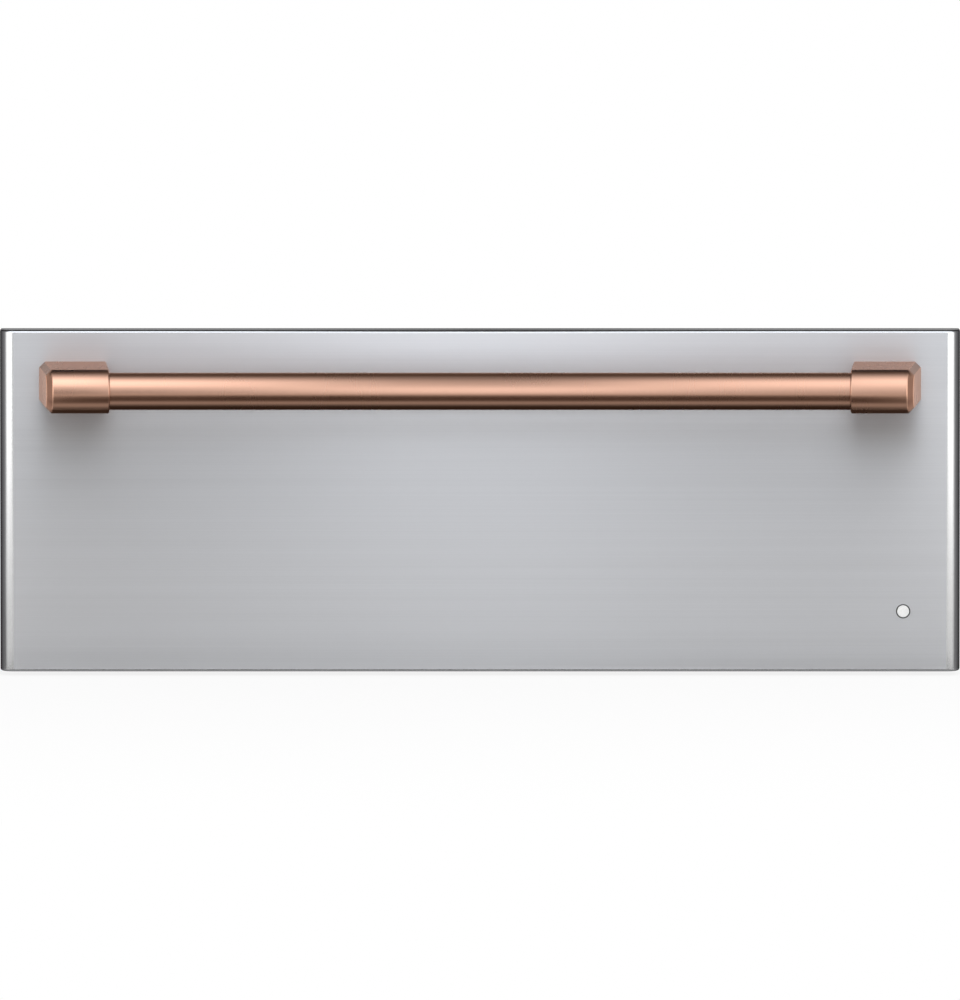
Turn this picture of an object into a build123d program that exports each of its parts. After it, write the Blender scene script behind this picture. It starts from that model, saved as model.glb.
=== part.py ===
from build123d import *
import os

os.makedirs("parts", exist_ok=True)

# A built-in warming drawer of the 30 inch class, in millimetres. X runs to the right, Y from the
# front to the back and Z up. The origin lies on the floor of the cut-out, under the middle of the
# whole appliance. "Reach" is a distance from the liner's side wall towards the drawer.

# Cuts run this far past the faces that they pass through.
OVERRUN = 2.0
# Flat sheets that nest inside each other.
SHEET_GAP = 0.1
# Blankets and seals beside hard pieces.
SOFT_GAP = 0.3

# Body of the cabinet, as it stands in the cut-out.
BODY_WIDTH = 714.0
BODY_HEIGHT = 212.0
BODY_DEPTH = 538.0
CASING_SHEET = 1.0
CASING_FLANGE = 15.0
BEAD_LENGTH = 420.0
BEAD_WIDTH = 26.0
BEAD_HEIGHT = 1.5
BEAD_SPACING = 260.0

# Channels under the base that carry the appliance.
RUNNER_HEIGHT = 12.0
RUNNER_WIDTH = 30.0
RUNNER_LIP = 12.0
RUNNER_SHEET = 1.5
RUNNER_INSET = 57.0
RUNNER_END_GAP = 18.0

# Washer-head sheet screws.
SCREW_RADIUS = 1.9
SCREW_CLEARANCE = 0.15
SCREW_LENGTH = 8.0
SCREW_WASHER_RADIUS = 4.6
SCREW_WASHER_HEIGHT = 0.8
SCREW_HEX_RADIUS = 3.6
SCREW_HEX_HEIGHT = 2.4
SCREW_EDGE = 7.5
SCREW_ROW_INSET = 60.0
SCREW_COUNT = 3

# Enamelled liner of the heated cavity and the room around it.
LINER_SHEET = 1.0
SIDE_INSULATION = 33.0
FLOOR_INSULATION = 16.0
REAR_INSULATION = 21.0
TOP_SPACE = 44.0
CONTROL_BAY_DEPTH = 66.0

# Front frame, a raised hat section with a flange that lies on the cabinet's face.
FRAME_DEPTH = 20.0
FRAME_SHEET = 1.2
FRAME_FLANGE_WIDTH = 16.1
FRAME_LIFT = 1.5
FRAME_SILL = 14.0
FRAME_HEADER = 4.0
FRAME_RISE = 20.0
FRAME_FLANGE_RISE = 26.0
FRAME_BEND_RADIUS = 1.8
FRAME_TAB_DEPTH = 18.0
FRAME_TAB_MARGIN = 22.0
FRAME_HOLE_RADIUS = 2.6
FRAME_HOLE_EDGE = 8.0
FRAME_HOLE_RISE = 27.5
FRAME_HOLE_DROP = 26.0

# Telescopic slides with two rows of balls in each gap between their members.
DRAWER_TRAVEL = 450.0
RAIL_START = 8.0
RAIL_END_GAP = 27.0
RAIL_HEIGHT = 46.0
RAIL_OFFSET = 2.0
RAIL_SHEET = 1.5
RAIL_REACH = 14.0
RAIL_LIP = 1.0
RAIL_LIP_HEIGHT = 1.2
RAIL_WEB_GAP = 2.6
RAIL_FACE_GAP = 1.0
RAIL_SCREW_INSET = 40.0
RAIL_SCREW_HEAD_RADIUS = 4.5
RAIL_SCREW_HEAD_HEIGHT = 0.6
BALL_RADIUS = 2.0
BALL_CLEARANCE = 0.15
BALL_COUNT = 8
CAGE_SHEET = 0.8
CAGE_TIP_GAP = 2.0
CAGE_END_GAP = 4.5
STANDOFF_RADIUS = 8.0

# Levers that free the drawer from its slides.
LEVER_LENGTH = 66.0
LEVER_HEIGHT = 6.0
LEVER_THICKNESS = 3.0
LEVER_EYE_RADIUS = 5.0
LEVER_PIN_RADIUS = 2.0
LEVER_BOSS_RADIUS = 3.5
LEVER_BOSS_HEIGHT = 2.3
LEVER_PIN_CLEARANCE = 0.05
LEVER_SIDE_GAP = 0.2
LEVER_SETBACK = 15.0

# Drawer front: outer panel with rolled vertical edges, closed by an inner panel.
FRONT_WIDTH = 755.6
FRONT_HEIGHT = 270.0
FRONT_DEPTH = 18.0
FRONT_LIFT = 3.0
FRONT_SHEET = 1.0
FRONT_EDGE_RADIUS = 10.6
FRONT_BEND_RADIUS = 2.0
FRONT_RETURN = 18.0
PANEL_SCREW_INSET = 48.0
PANEL_SCREW_COUNT = 5
INNER_SHEET = 1.0
INNER_MARGIN = 6.0
GASKET_SPACE = 3.5
GASKET_WIDTH = 6.0
GASKET_SIDE_OFFSET = 20.0
GASKET_TOP_OFFSET = 1.0
GASKET_BOTTOM_OFFSET = 4.0
GASKET_CORNER_RADIUS = 12.0
GASKET_LIP_RADIUS = 2.0

# Bar handle between two flared posts.
HANDLE_DROP = 42.0
HANDLE_STANDOFF = 59.7
HANDLE_INSET = 31.0
BAR_RADIUS = 14.6
BAR_WALL = 2.0
POST_RADIUS = 17.4
POST_LENGTH = 49.7
POST_OUTER_FLARE = 7.1
POST_INNER_FLARE = 3.9
POST_CHAMFER = 3.7
POST_INNER_CHAMFER = 0.8
SOCKET_DEPTH = 10.0
SOCKET_CLEARANCE = 0.1
HANDLE_SCREW_RADIUS = 3.0
HANDLE_SCREW_CLEARANCE = 0.15
HANDLE_SCREW_LENGTH = 18.0
HANDLE_SCREW_HEAD_RADIUS = 5.5
HANDLE_SCREW_HEAD_HEIGHT = 3.3
HANDLE_SCREW_SPACING = 24.0
HANDLE_SCREW_END_GAP = 1.0

# Power light: a lens in the front, lit across the gap by a lamp in the frame.
LENS_INSET = 44.7
LENS_RISE = 47.8
LENS_RADIUS = 4.75
LENS_RING = 0.9
LENS_PROUD = 0.6
LENS_CROWN = 0.8
LENS_FLANGE_RADIUS = 8.0
LENS_FLANGE_HEIGHT = 1.5
PIPE_RADIUS = 4.0
PIPE_CLEARANCE = 0.15
PIPE_END = 0.5
LAMP_FLANGE_RADIUS = 5.5
LAMP_FLANGE_HEIGHT = 1.0
LAMP_LENGTH = 14.0

# Drawer frame that hangs on the slides and holds the pan by its rim.
DRAWER_SHEET = 1.2
DRAWER_END_GAP = 45.0
DRAWER_SILL_GAP = 18.0
DRAWER_HEADROOM = 11.0
DRAWER_LEDGE = 18.0
DRAWER_FOOT = 10.0
DRAWER_TAB = 22.0
DRAWER_BAR_HEIGHT = 24.0
DRAWER_BAR_LEDGE = 14.0

# Lift-out serving pan and its rack.
PAN_SHEET = 1.0
PAN_FLOOR_GAP = 7.0
PAN_GAP = 2.5
PAN_RIM = 13.0
PAN_CORNER_RADIUS = 45.0
PAN_FOOT_RADIUS = 14.0
PAN_LIP_RADIUS = 1.8
RACK_WIDTH = 262.0
RACK_WALL_GAP = 22.0
RACK_HEIGHT = 34.0
RACK_FRAME_RADIUS = 3.0
RACK_WIRE_RADIUS = 1.75
RACK_WELD = 0.8
RACK_CORNER_RADIUS = 30.0
RACK_WIRE_COUNT = 17
RACK_LEG_RADIUS = 2.4
RACK_LEG_INSET = 70.0

# Tubular heating element under a slotted shield.
ELEMENT_RADIUS = 3.25
ELEMENT_LIFT = 11.0
ELEMENT_SIDE_GAP = 30.0
ELEMENT_NECK = 25.0
ELEMENT_FRONT_GAP = 45.0
ELEMENT_REAR_GAP = 40.0
ELEMENT_BEND_RADIUS = 40.0
ELEMENT_TAIL = 12.0
ELEMENT_HOLE_CLEARANCE = 0.5
CLIP_WIDTH = 12.0
CLIP_WALL = 1.5
CLIP_CLEARANCE = 0.15
SHIELD_HEIGHT = 21.0
SHIELD_SHEET = 1.0
SHIELD_MARGIN = 52.0
SHIELD_FRONT_GAP = 45.0
SHIELD_REAR_GAP = 30.0
SHIELD_SLOT_LENGTH = 58.0
SHIELD_SLOT_WIDTH = 9.0
SHIELD_SLOT_PITCH_X = 74.0
SHIELD_SLOT_PITCH_Y = 38.0
SHIELD_SLOT_EDGE = 15.0

# Sensor in the cavity and safety thermostat on the liner's roof.
SENSOR_X = 150.0
SENSOR_DROP = 40.0
SENSOR_PLATE_WIDTH = 24.0
SENSOR_PLATE_HEIGHT = 36.0
SENSOR_PLATE_SHEET = 1.5
SENSOR_RADIUS = 3.0
SENSOR_LENGTH = 28.0
CUTOUT_Y = 300.0
CUTOUT_RADIUS = 9.5
CUTOUT_HEIGHT = 11.0
CUTOUT_EAR_LENGTH = 40.0
CUTOUT_EAR_WIDTH = 12.0
CUTOUT_EAR_SHEET = 1.5
CUTOUT_POCKET_GAP = 4.0

# Control console recessed in the frame's top rail.
CONSOLE_X = 190.0
CONSOLE_DROP = 16.0
CONSOLE_WIDTH = 120.0
CONSOLE_HEIGHT = 42.0
CONSOLE_RECESS = 16.0
CONSOLE_WALL = 2.0
CONSOLE_LIP = 3.0
CONSOLE_LIP_SHEET = 1.2
CONSOLE_GAP = 0.2
SWITCH_WIDTH = 34.0
SWITCH_HEIGHT = 28.0
SWITCH_DEPTH = 38.0
SWITCH_BLADE_WIDTH = 6.3
SWITCH_BLADE_SHEET = 0.8
SWITCH_BLADE_LENGTH = 9.0
SWITCH_BLADE_SPACING = 14.0
SWITCH_BLADE_COUNT = 2
SHAFT_RADIUS = 3.0
SHAFT_CLEARANCE = 0.05
SHAFT_HOLE_CLEARANCE = 0.5
KNOB_RADIUS = 14.0
KNOB_HEIGHT = 13.5
KNOB_GAP = 1.0
KNOB_BORE_DEPTH = 10.0
KNOB_EDGE_RADIUS = 1.5
KNOB_FLUTE_RADIUS = 1.6
KNOB_FLUTE_DEPTH = 0.7
KNOB_FLUTE_COUNT = 20
KNOB_POINTER_WIDTH = 1.6
KNOB_POINTER_DEPTH = 0.6
KNOB_POINTER_LENGTH = 8.0

# Moisture vent with a slotted shutter behind the frame's top rail.
VENT_X = -190.0
VENT_SLOT_COUNT = 8
VENT_PITCH = 12.0
VENT_SLOT_WIDTH = 5.0
VENT_SLOT_HEIGHT = 20.0
SHUTTER_SHEET = 1.0
SHUTTER_MARGIN = 4.0
SHUTTER_GAP = 0.2
SHUTTER_GUIDE_SHEET = 1.2
SHUTTER_GUIDE_LIP = 2.5
SHUTTER_TAIL = 24.0
SHUTTER_TAB_WIDTH = 8.0
SHUTTER_TAB_HEIGHT = 10.0
SHUTTER_TAB_PROUD = 1.8
LINER_VENT_LENGTH = 26.0
LINER_VENT_SETBACK = 34.0

# Wiring box on the rear panel, with the supply cord's gland.
BOX_WIDTH = 130.0
BOX_HEIGHT = 70.0
BOX_DEPTH = 38.0
BOX_RISE = 8.0
BOX_SHEET = 1.0
BOX_FLANGE = 15.0
BOX_SCREW_SPACING = 44.0
BOX_TAB_WIDTH = 22.0
BOX_TAB_HEIGHT = 14.0
GLAND_BORE_RADIUS = 4.3
GLAND_BODY_RADIUS = 9.0
GLAND_FLANGE_RADIUS = 12.0
GLAND_FLANGE_HEIGHT = 4.0
GLAND_NOSE_RADIUS = 8.0
GLAND_NOSE_LENGTH = 12.0
GLAND_NUT_HEIGHT = 4.0
GLAND_CLEARANCE = 0.15

# Depth of everything in front of the cabinet's face and behind it, which centres the part.
front_reach = FRAME_DEPTH + GASKET_SPACE + INNER_SHEET + FRONT_DEPTH + HANDLE_STANDOFF + POST_RADIUS
rear_reach = BODY_DEPTH + BOX_DEPTH + BOX_SHEET + SCREW_WASHER_HEIGHT + SCREW_HEX_HEIGHT
face_y = (front_reach - rear_reach) / 2

# Holes that screws pass through.
screw_hole = SCREW_RADIUS + SCREW_CLEARANCE
handle_screw_hole = HANDLE_SCREW_RADIUS + HANDLE_SCREW_CLEARANCE

# Casing.
body_half = BODY_WIDTH / 2
casing_inside = body_half - CASING_SHEET
casing_floor = RUNNER_HEIGHT + CASING_SHEET
casing_roof = BODY_HEIGHT - CASING_SHEET
body_back = face_y + BODY_DEPTH
rear_inside = body_back - CASING_SHEET

# Liner.
liner_half = casing_inside - SIDE_INSULATION - LINER_SHEET
liner_outside = liner_half + LINER_SHEET
liner_floor_top = casing_floor + FLOOR_INSULATION + LINER_SHEET
liner_roof_top = casing_roof - TOP_SPACE
liner_roof = liner_roof_top - LINER_SHEET
liner_back = rear_inside - REAR_INSULATION - LINER_SHEET

# Frame.
frame_front = face_y - FRAME_DEPTH
frame_web_back = frame_front + FRAME_SHEET
frame_bottom = FRONT_LIFT + FRAME_LIFT
frame_top = BODY_HEIGHT + FRAME_RISE
flange_top = frame_top + FRAME_FLANGE_RISE
stile_outside = casing_inside - SHEET_GAP
flange_half = stile_outside + FRAME_FLANGE_WIDTH
opening_bottom = liner_floor_top + FRAME_SILL
opening_top = liner_roof - FRAME_HEADER
frame_hole_z = (frame_bottom + FRAME_HOLE_RISE, flange_top - FRAME_HOLE_DROP)

# Drawer front.
front_half = FRONT_WIDTH / 2
front_bottom = FRONT_LIFT
front_top = FRONT_LIFT + FRONT_HEIGHT
inner_back = frame_front - GASKET_SPACE
inner_front = inner_back - INNER_SHEET
front_face = inner_front - FRONT_DEPTH
front_inside = front_face + FRONT_SHEET

# Handle.
bar_y = front_face - HANDLE_STANDOFF
bar_z = front_top - HANDLE_DROP
post_outer_back = front_half - HANDLE_INSET
post_outer_front = post_outer_back - POST_OUTER_FLARE
post_inner_front = post_outer_front - POST_LENGTH
post_inner_back = post_inner_front + POST_INNER_FLARE
post_middle_back = (post_outer_back + post_inner_back) / 2

# Power light.
lens_x = front_half - LENS_INSET
lens_z = front_bottom + LENS_RISE

# Slides, as heights from the slide's axis and reaches from the liner's wall.
slide_z = (opening_bottom + opening_top) / 2 + RAIL_OFFSET
rail_front = face_y + RAIL_START
rail_back = liner_back - RAIL_END_GAP
rail_length = rail_back - rail_front
ball_space = 2 * (BALL_RADIUS + BALL_CLEARANCE)
cabinet_outer = RAIL_HEIGHT / 2
cabinet_inner = cabinet_outer - RAIL_SHEET
middle_outer = cabinet_inner - ball_space
middle_inner = middle_outer - RAIL_SHEET
drawer_outer = middle_inner - ball_space
drawer_inner = drawer_outer - RAIL_SHEET
middle_web = RAIL_SHEET + RAIL_WEB_GAP
drawer_flange_tip = middle_web + RAIL_SHEET + RAIL_WEB_GAP
drawer_web = RAIL_REACH + RAIL_FACE_GAP
slide_depth = drawer_web + RAIL_SHEET
cage_front = rail_front + DRAWER_TRAVEL / 4 + CAGE_END_GAP
cage_length = rail_length - DRAWER_TRAVEL / 2 - 2 * CAGE_END_GAP
lever_pivot_y = rail_front + DRAWER_TRAVEL / 2 - LEVER_SETBACK

# Shield over the element, and as many slots as it has room for.
shield_half = liner_half - SHIELD_MARGIN
shield_top = liner_floor_top + SHIELD_HEIGHT
shield_front = face_y + SHIELD_FRONT_GAP
shield_back = liner_back - SHIELD_REAR_GAP
slot_room_x = 2 * (shield_half - SHIELD_SLOT_EDGE) - SHIELD_SLOT_LENGTH
slot_room_y = shield_back - shield_front - 2 * SHIELD_SLOT_EDGE - SHIELD_SLOT_WIDTH
slot_columns = int(slot_room_x / SHIELD_SLOT_PITCH_X) + 1
slot_rows = int(slot_room_y / SHIELD_SLOT_PITCH_Y) + 1

# Drawer frame and pan.
drawer_half = liner_half - slide_depth
drawer_inside = drawer_half - DRAWER_SHEET
drawer_back = liner_back - DRAWER_END_GAP
rim_z = opening_top - DRAWER_HEADROOM
drawer_bottom = opening_bottom + DRAWER_SILL_GAP
ledge_z = rim_z - DRAWER_SHEET
ledge_inside = drawer_half - DRAWER_LEDGE
tab_inside = drawer_half - DRAWER_TAB
pan_half = ledge_inside - PAN_GAP
pan_front = inner_back + DRAWER_BAR_LEDGE + PAN_GAP
pan_back = drawer_back - DRAWER_LEDGE - PAN_GAP
pan_bottom = shield_top + PAN_FLOOR_GAP
pan_top = rim_z + PAN_SHEET

# Console and vent share one height in the frame's top rail.
console_z = casing_roof - CONSOLE_DROP
console_floor = frame_front + CONSOLE_RECESS
shutter_front = frame_web_back + SHUTTER_GAP
shutter_back = shutter_front + SHUTTER_SHEET
shutter_half_height = VENT_SLOT_HEIGHT / 2 + SHUTTER_MARGIN
vent_half = VENT_SLOT_COUNT * VENT_PITCH / 2
shutter_travel = VENT_PITCH / 2
shutter_left = VENT_X - vent_half - shutter_travel
shutter_right = VENT_X + vent_half + SHUTTER_TAIL
shutter_tab_x = VENT_X + vent_half + SHUTTER_TAIL / 2

# Element, inside the shield.
element_z = liner_floor_top + ELEMENT_LIFT
element_end = body_back + ELEMENT_TAIL
element_half = shield_half - ELEMENT_SIDE_GAP
element_front = shield_front + ELEMENT_FRONT_GAP
element_back = shield_back - ELEMENT_REAR_GAP
element_middle = (element_front + element_back) / 2

# Wiring box.
box_bottom = casing_floor + BOX_RISE
box_top = box_bottom + BOX_HEIGHT
box_half = BOX_WIDTH / 2
box_back = body_back + BOX_DEPTH
gland_y = body_back + BOX_DEPTH / 2
gland_z = (box_bottom + box_top) / 2


def finish(piece, name):
    """Name a finished piece and write it."""
    piece.part.label = name
    export_step(piece.part, f"parts/{name}.step")


def spread(low, high, count):
    """Evenly spaced places from low to high."""
    step = (high - low) / (count - 1)
    return [low + step * place for place in range(count)]


def around(middle, size):
    """The span of a size about a middle."""
    return (middle - size / 2, middle + size / 2)


def facing(y):
    """The plane at a depth that faces the front, with X to the right and Z up."""
    return Plane.XZ.offset(-y)


def slab(x_span, y_span, z_span, mode=Mode.ADD):
    """A square block that fills three spans."""
    (x0, x1), (y0, y1), (z0, z1) = x_span, y_span, z_span
    with Locations(((x0 + x1) / 2, (y0 + y1) / 2, (z0 + z1) / 2)):
        Box(x1 - x0, y1 - y0, z1 - z0, mode=mode)


def strip(across, up):
    """A rectangle of a profile that fills two spans."""
    (x0, x1), (z0, z1) = across, up
    with Locations(((x0 + x1) / 2, (z0 + z1) / 2)):
        Rectangle(x1 - x0, z1 - z0)


def rod(start, direction, radius, length, mode=Mode.ADD):
    """A round rod from a point along a direction."""
    with BuildSketch(Plane(origin=start, z_dir=direction)) as section:
        Circle(radius)
    extrude(section.sketch, amount=length, mode=mode)


def drill(start, direction, radius, depth):
    """A round hole from a face inwards, against the direction that the face looks in."""
    with BuildSketch(Plane(origin=start, z_dir=direction).offset(OVERRUN)) as section:
        Circle(radius)
    extrude(section.sketch, amount=-(depth + OVERRUN), mode=Mode.SUBTRACT)


def pierce(points, direction, sheet):
    """Screw holes through one sheet, at points on the face that the screw heads sit on."""
    for point in points:
        drill(point, direction, screw_hole, sheet + OVERRUN)


def hex_screws(seats, direction):
    """Washer-head screws that sit on one face and point their heads along a direction."""
    face = Plane(origin=seats[0], z_dir=direction)
    places = [face.to_local_coords(Vector(*seat)) for seat in seats]
    with BuildSketch(face) as heads:
        with Locations(*places):
            RegularPolygon(SCREW_HEX_RADIUS, 6)
    with BuildSketch(face) as washers:
        with Locations(*places):
            Circle(SCREW_WASHER_RADIUS)
    with BuildSketch(face) as shanks:
        with Locations(*places):
            Circle(SCREW_RADIUS)
    extrude(heads.sketch, amount=SCREW_WASHER_HEIGHT + SCREW_HEX_HEIGHT)
    extrude(washers.sketch, amount=SCREW_WASHER_HEIGHT)
    extrude(shanks.sketch, amount=-SCREW_LENGTH)


def mirrored(seats):
    """The same seats on the left side."""
    return [(-x, y, z) for x, y, z in seats]


def reach_span(near, far):
    """The X span on the right side between two reaches from the liner's wall."""
    return (liner_half - far, liner_half - near)


def height_span(side, low, high):
    """The Z span above (1) or below (-1) the slide's axis between two heights."""
    return tuple(sorted((slide_z + side * low, slide_z + side * high)))


TO_FRONT, TO_BACK = (0, -1, 0), (0, 1, 0)
TO_LEFT, TO_RIGHT = (-1, 0, 0), (1, 0, 0)
UPWARDS, DOWNWARDS = (0, 0, 1), (0, 0, -1)

# Seats of the screws that hold the cabinet together.
row_y = spread(face_y + SCREW_ROW_INSET, body_back - SCREW_ROW_INSET, SCREW_COUNT)
row_z = spread(casing_floor + FRAME_TAB_MARGIN, casing_roof - FRAME_TAB_MARGIN, SCREW_COUNT)
rail_screw_y = spread(rail_front + RAIL_SCREW_INSET, rail_back - RAIL_SCREW_INSET, SCREW_COUNT)
flange_x = body_half - SCREW_EDGE
tab_y = face_y + FRAME_TAB_DEPTH / 2
box_screw_x = box_half + BOX_FLANGE / 2
box_screw_z = [gland_z + side * BOX_SCREW_SPACING / 2 for side in (-1, 1)]
cover_screw_z = (box_bottom + BOX_TAB_HEIGHT / 2, box_top - BOX_TAB_HEIGHT / 2)
top_seats = [(side * flange_x, y, BODY_HEIGHT) for side in (-1, 1) for y in row_y]
base_seats = [(side * flange_x, y, RUNNER_HEIGHT) for side in (-1, 1) for y in row_y]
rear_seats = [(side * flange_x, body_back, z) for side in (-1, 1) for z in row_z]
box_seats = [(side * box_screw_x, body_back + BOX_SHEET, z) for side in (-1, 1) for z in box_screw_z]
cover_seats = [(0, box_back + BOX_SHEET, z) for z in cover_screw_z]
side_seats = [(body_half, tab_y, z) for z in row_z] + [(body_half, y, slide_z) for y in rail_screw_y]

# Seats of the screws in the drawer.
panel_screw_edge = (INNER_MARGIN + FRONT_RETURN) / 2
panel_screw_z = (front_bottom + panel_screw_edge, front_top - panel_screw_edge)
panel_screw_x = spread(PANEL_SCREW_INSET - front_half, front_half - PANEL_SCREW_INSET, PANEL_SCREW_COUNT)
panel_seats = [(x, inner_back, z) for z in panel_screw_z for x in panel_screw_x]
tab_screw_x = (drawer_inside + tab_inside) / 2
tab_screw_z = (drawer_bottom + DRAWER_TAB, ledge_z - DRAWER_TAB)
tab_seats = [(side * tab_screw_x, inner_back + DRAWER_SHEET, z) for side in (-1, 1) for z in tab_screw_z]
bar_seats = [(x, inner_back + DRAWER_SHEET, rim_z - DRAWER_BAR_HEIGHT / 2)
             for x in spread(-ledge_inside / 2, ledge_inside / 2, SCREW_COUNT)]
rail_seats = [(liner_half - drawer_web, y, slide_z) for y in rail_screw_y]
handle_seats = [(side * post_middle_back + step * HANDLE_SCREW_SPACING / 2, front_inside, bar_z)
                for side in (-1, 1) for step in (-1, 1)]

# Base: a flat pan on two channels.
with BuildPart() as base_pan:
    slab((-body_half, body_half), (face_y, body_back), (RUNNER_HEIGHT, casing_floor))
    pierce(base_seats, DOWNWARDS, CASING_SHEET)
finish(base_pan, "base_pan")

with BuildPart() as base_runners:
    for side in (-1, 1):
        middle = side * (body_half - RUNNER_INSET)
        with BuildSketch(facing(body_back - RUNNER_END_GAP)):
            strip(around(middle, RUNNER_WIDTH), (0, RUNNER_SHEET))
            for edge in (-1, 1):
                wall = middle + edge * RUNNER_WIDTH / 2
                strip(sorted((wall, wall - edge * RUNNER_SHEET)), (0, RUNNER_HEIGHT))
                strip(sorted((wall, wall + edge * RUNNER_LIP)), (RUNNER_HEIGHT - RUNNER_SHEET, RUNNER_HEIGHT))
        extrude(amount=BODY_DEPTH - 2 * RUNNER_END_GAP)
finish(base_runners, "base_runners")

# Casing: two sides with turned-in flanges, a beaded top and a rear panel.
with BuildPart() as casing_side_right:
    slab((casing_inside, body_half), (face_y, rear_inside), (casing_floor, casing_roof))
    flange = (body_half - CASING_FLANGE, body_half)
    slab(flange, (face_y, rear_inside), (casing_floor, casing_floor + CASING_SHEET))
    slab(flange, (face_y, rear_inside), (casing_roof - CASING_SHEET, casing_roof))
    slab(flange, (rear_inside - CASING_SHEET, rear_inside), (casing_floor, casing_roof))
    pierce([seat for seat in top_seats if seat[0] > 0], UPWARDS, 2 * CASING_SHEET)
    pierce([seat for seat in base_seats if seat[0] > 0], DOWNWARDS, 2 * CASING_SHEET)
    pierce([seat for seat in rear_seats if seat[0] > 0], TO_BACK, 2 * CASING_SHEET)
    pierce(side_seats, TO_RIGHT, CASING_SHEET)
finish(casing_side_right, "casing_side_right")

with BuildPart() as casing_side_left:
    mirror(casing_side_right.part, about=Plane.YZ)
finish(casing_side_left, "casing_side_left")

with BuildPart() as casing_top:
    slab((-body_half, body_half), (face_y, body_back), (casing_roof, BODY_HEIGHT))
    with BuildSketch(Plane.XY.offset(BODY_HEIGHT)):
        for y in (-1, 1):
            with Locations((0, (face_y + body_back) / 2 + y * BEAD_SPACING / 2)):
                SlotOverall(BEAD_LENGTH, BEAD_WIDTH)
    extrude(amount=BEAD_HEIGHT)
    chamfer(casing_top.faces().group_by(Axis.Z)[-1].edges(), length=BEAD_HEIGHT / 2)
    pierce(top_seats, UPWARDS, CASING_SHEET)
finish(casing_top, "casing_top")

with BuildPart() as casing_rear:
    slab((-body_half, body_half), (rear_inside, body_back), (casing_floor, casing_roof))
    pierce(rear_seats + box_seats, TO_BACK, BOX_SHEET + CASING_SHEET)
    for side in (-1, 1):
        drill((side * ELEMENT_NECK, body_back, element_z), TO_BACK,
              ELEMENT_RADIUS + ELEMENT_HOLE_CLEARANCE, CASING_SHEET + OVERRUN)
finish(casing_rear, "casing_rear")

# Liner: five enamelled sheets that meet edge to edge, with lips behind the frame.
with BuildPart() as liner_floor:
    slab((-liner_outside, liner_outside), (face_y, liner_back),
         (liner_floor_top - LINER_SHEET, liner_floor_top))
    slab((-liner_half, liner_half), (face_y, face_y + LINER_SHEET), (liner_floor_top, opening_bottom))
finish(liner_floor, "liner_floor")

with BuildPart() as liner_side_right:
    slab((liner_half, liner_outside), (face_y, liner_back), (liner_floor_top, liner_roof))
    for y in rail_screw_y:
        drill((liner_half, y, slide_z), TO_LEFT, screw_hole, LINER_SHEET + OVERRUN)
finish(liner_side_right, "liner_side_right")

with BuildPart() as liner_side_left:
    mirror(liner_side_right.part, about=Plane.YZ)
finish(liner_side_left, "liner_side_left")

with BuildPart() as liner_top:
    slab((-liner_outside, liner_outside), (face_y, liner_back), (liner_roof, liner_roof_top))
    slab((-liner_half, liner_half), (face_y, face_y + LINER_SHEET), (opening_top, liner_roof))
    with BuildSketch(Plane.XY.offset(liner_roof - OVERRUN)):
        with Locations((VENT_X, face_y + LINER_VENT_SETBACK)):
            with GridLocations(VENT_PITCH, LINER_VENT_LENGTH, VENT_SLOT_COUNT, 1):
                SlotOverall(LINER_VENT_LENGTH, VENT_SLOT_WIDTH, rotation=90)
    extrude(amount=LINER_SHEET + 2 * OVERRUN, mode=Mode.SUBTRACT)
finish(liner_top, "liner_top")

with BuildPart() as liner_rear:
    slab((-liner_outside, liner_outside), (liner_back, liner_back + LINER_SHEET),
         (liner_floor_top - LINER_SHEET, liner_roof_top))
    for side in (-1, 1):
        drill((side * ELEMENT_NECK, liner_back, element_z), TO_FRONT,
              ELEMENT_RADIUS + ELEMENT_HOLE_CLEARANCE, LINER_SHEET + OVERRUN)
finish(liner_rear, "liner_rear")

# Mineral-wool blankets that fill the room between liner and casing.
with BuildPart() as insulation_blankets:
    blanket_half = body_half - CASING_FLANGE - SOFT_GAP
    slab((-blanket_half, blanket_half), (face_y + FRAME_TAB_DEPTH + SOFT_GAP, liner_back),
         (casing_floor + SOFT_GAP, liner_floor_top - LINER_SHEET - SOFT_GAP))
    slab((-blanket_half, blanket_half), (face_y + CONTROL_BAY_DEPTH, liner_back),
         (liner_roof_top + SOFT_GAP, casing_roof - SOFT_GAP))
    slab((-blanket_half, blanket_half), (liner_back + LINER_SHEET + SOFT_GAP, rear_inside - SOFT_GAP),
         (casing_floor + SOFT_GAP, casing_roof - SOFT_GAP))
    for side in (-1, 1):
        slab(sorted((side * (liner_outside + SOFT_GAP), side * (casing_inside - SOFT_GAP))),
             (face_y + FRAME_TAB_DEPTH + SOFT_GAP, liner_back),
             (liner_floor_top, liner_roof_top))
        for y in rail_screw_y:
            drill((side * body_half, y, slide_z), (side, 0, 0), STANDOFF_RADIUS + SOFT_GAP,
                  body_half - liner_half)
        drill((side * ELEMENT_NECK, body_back, element_z), TO_BACK,
              ELEMENT_RADIUS + ELEMENT_HOLE_CLEARANCE, body_back - liner_back)
    for seat in box_seats:
        drill(seat, TO_BACK, SCREW_RADIUS + SOFT_GAP, SCREW_LENGTH + SOFT_GAP)
    drill((0, face_y + CUTOUT_Y, liner_roof_top + CUTOUT_HEIGHT + CUTOUT_POCKET_GAP), UPWARDS,
          CUTOUT_EAR_LENGTH / 2 + CUTOUT_POCKET_GAP, CUTOUT_HEIGHT + CUTOUT_POCKET_GAP)
finish(insulation_blankets, "insulation_blankets")

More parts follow.
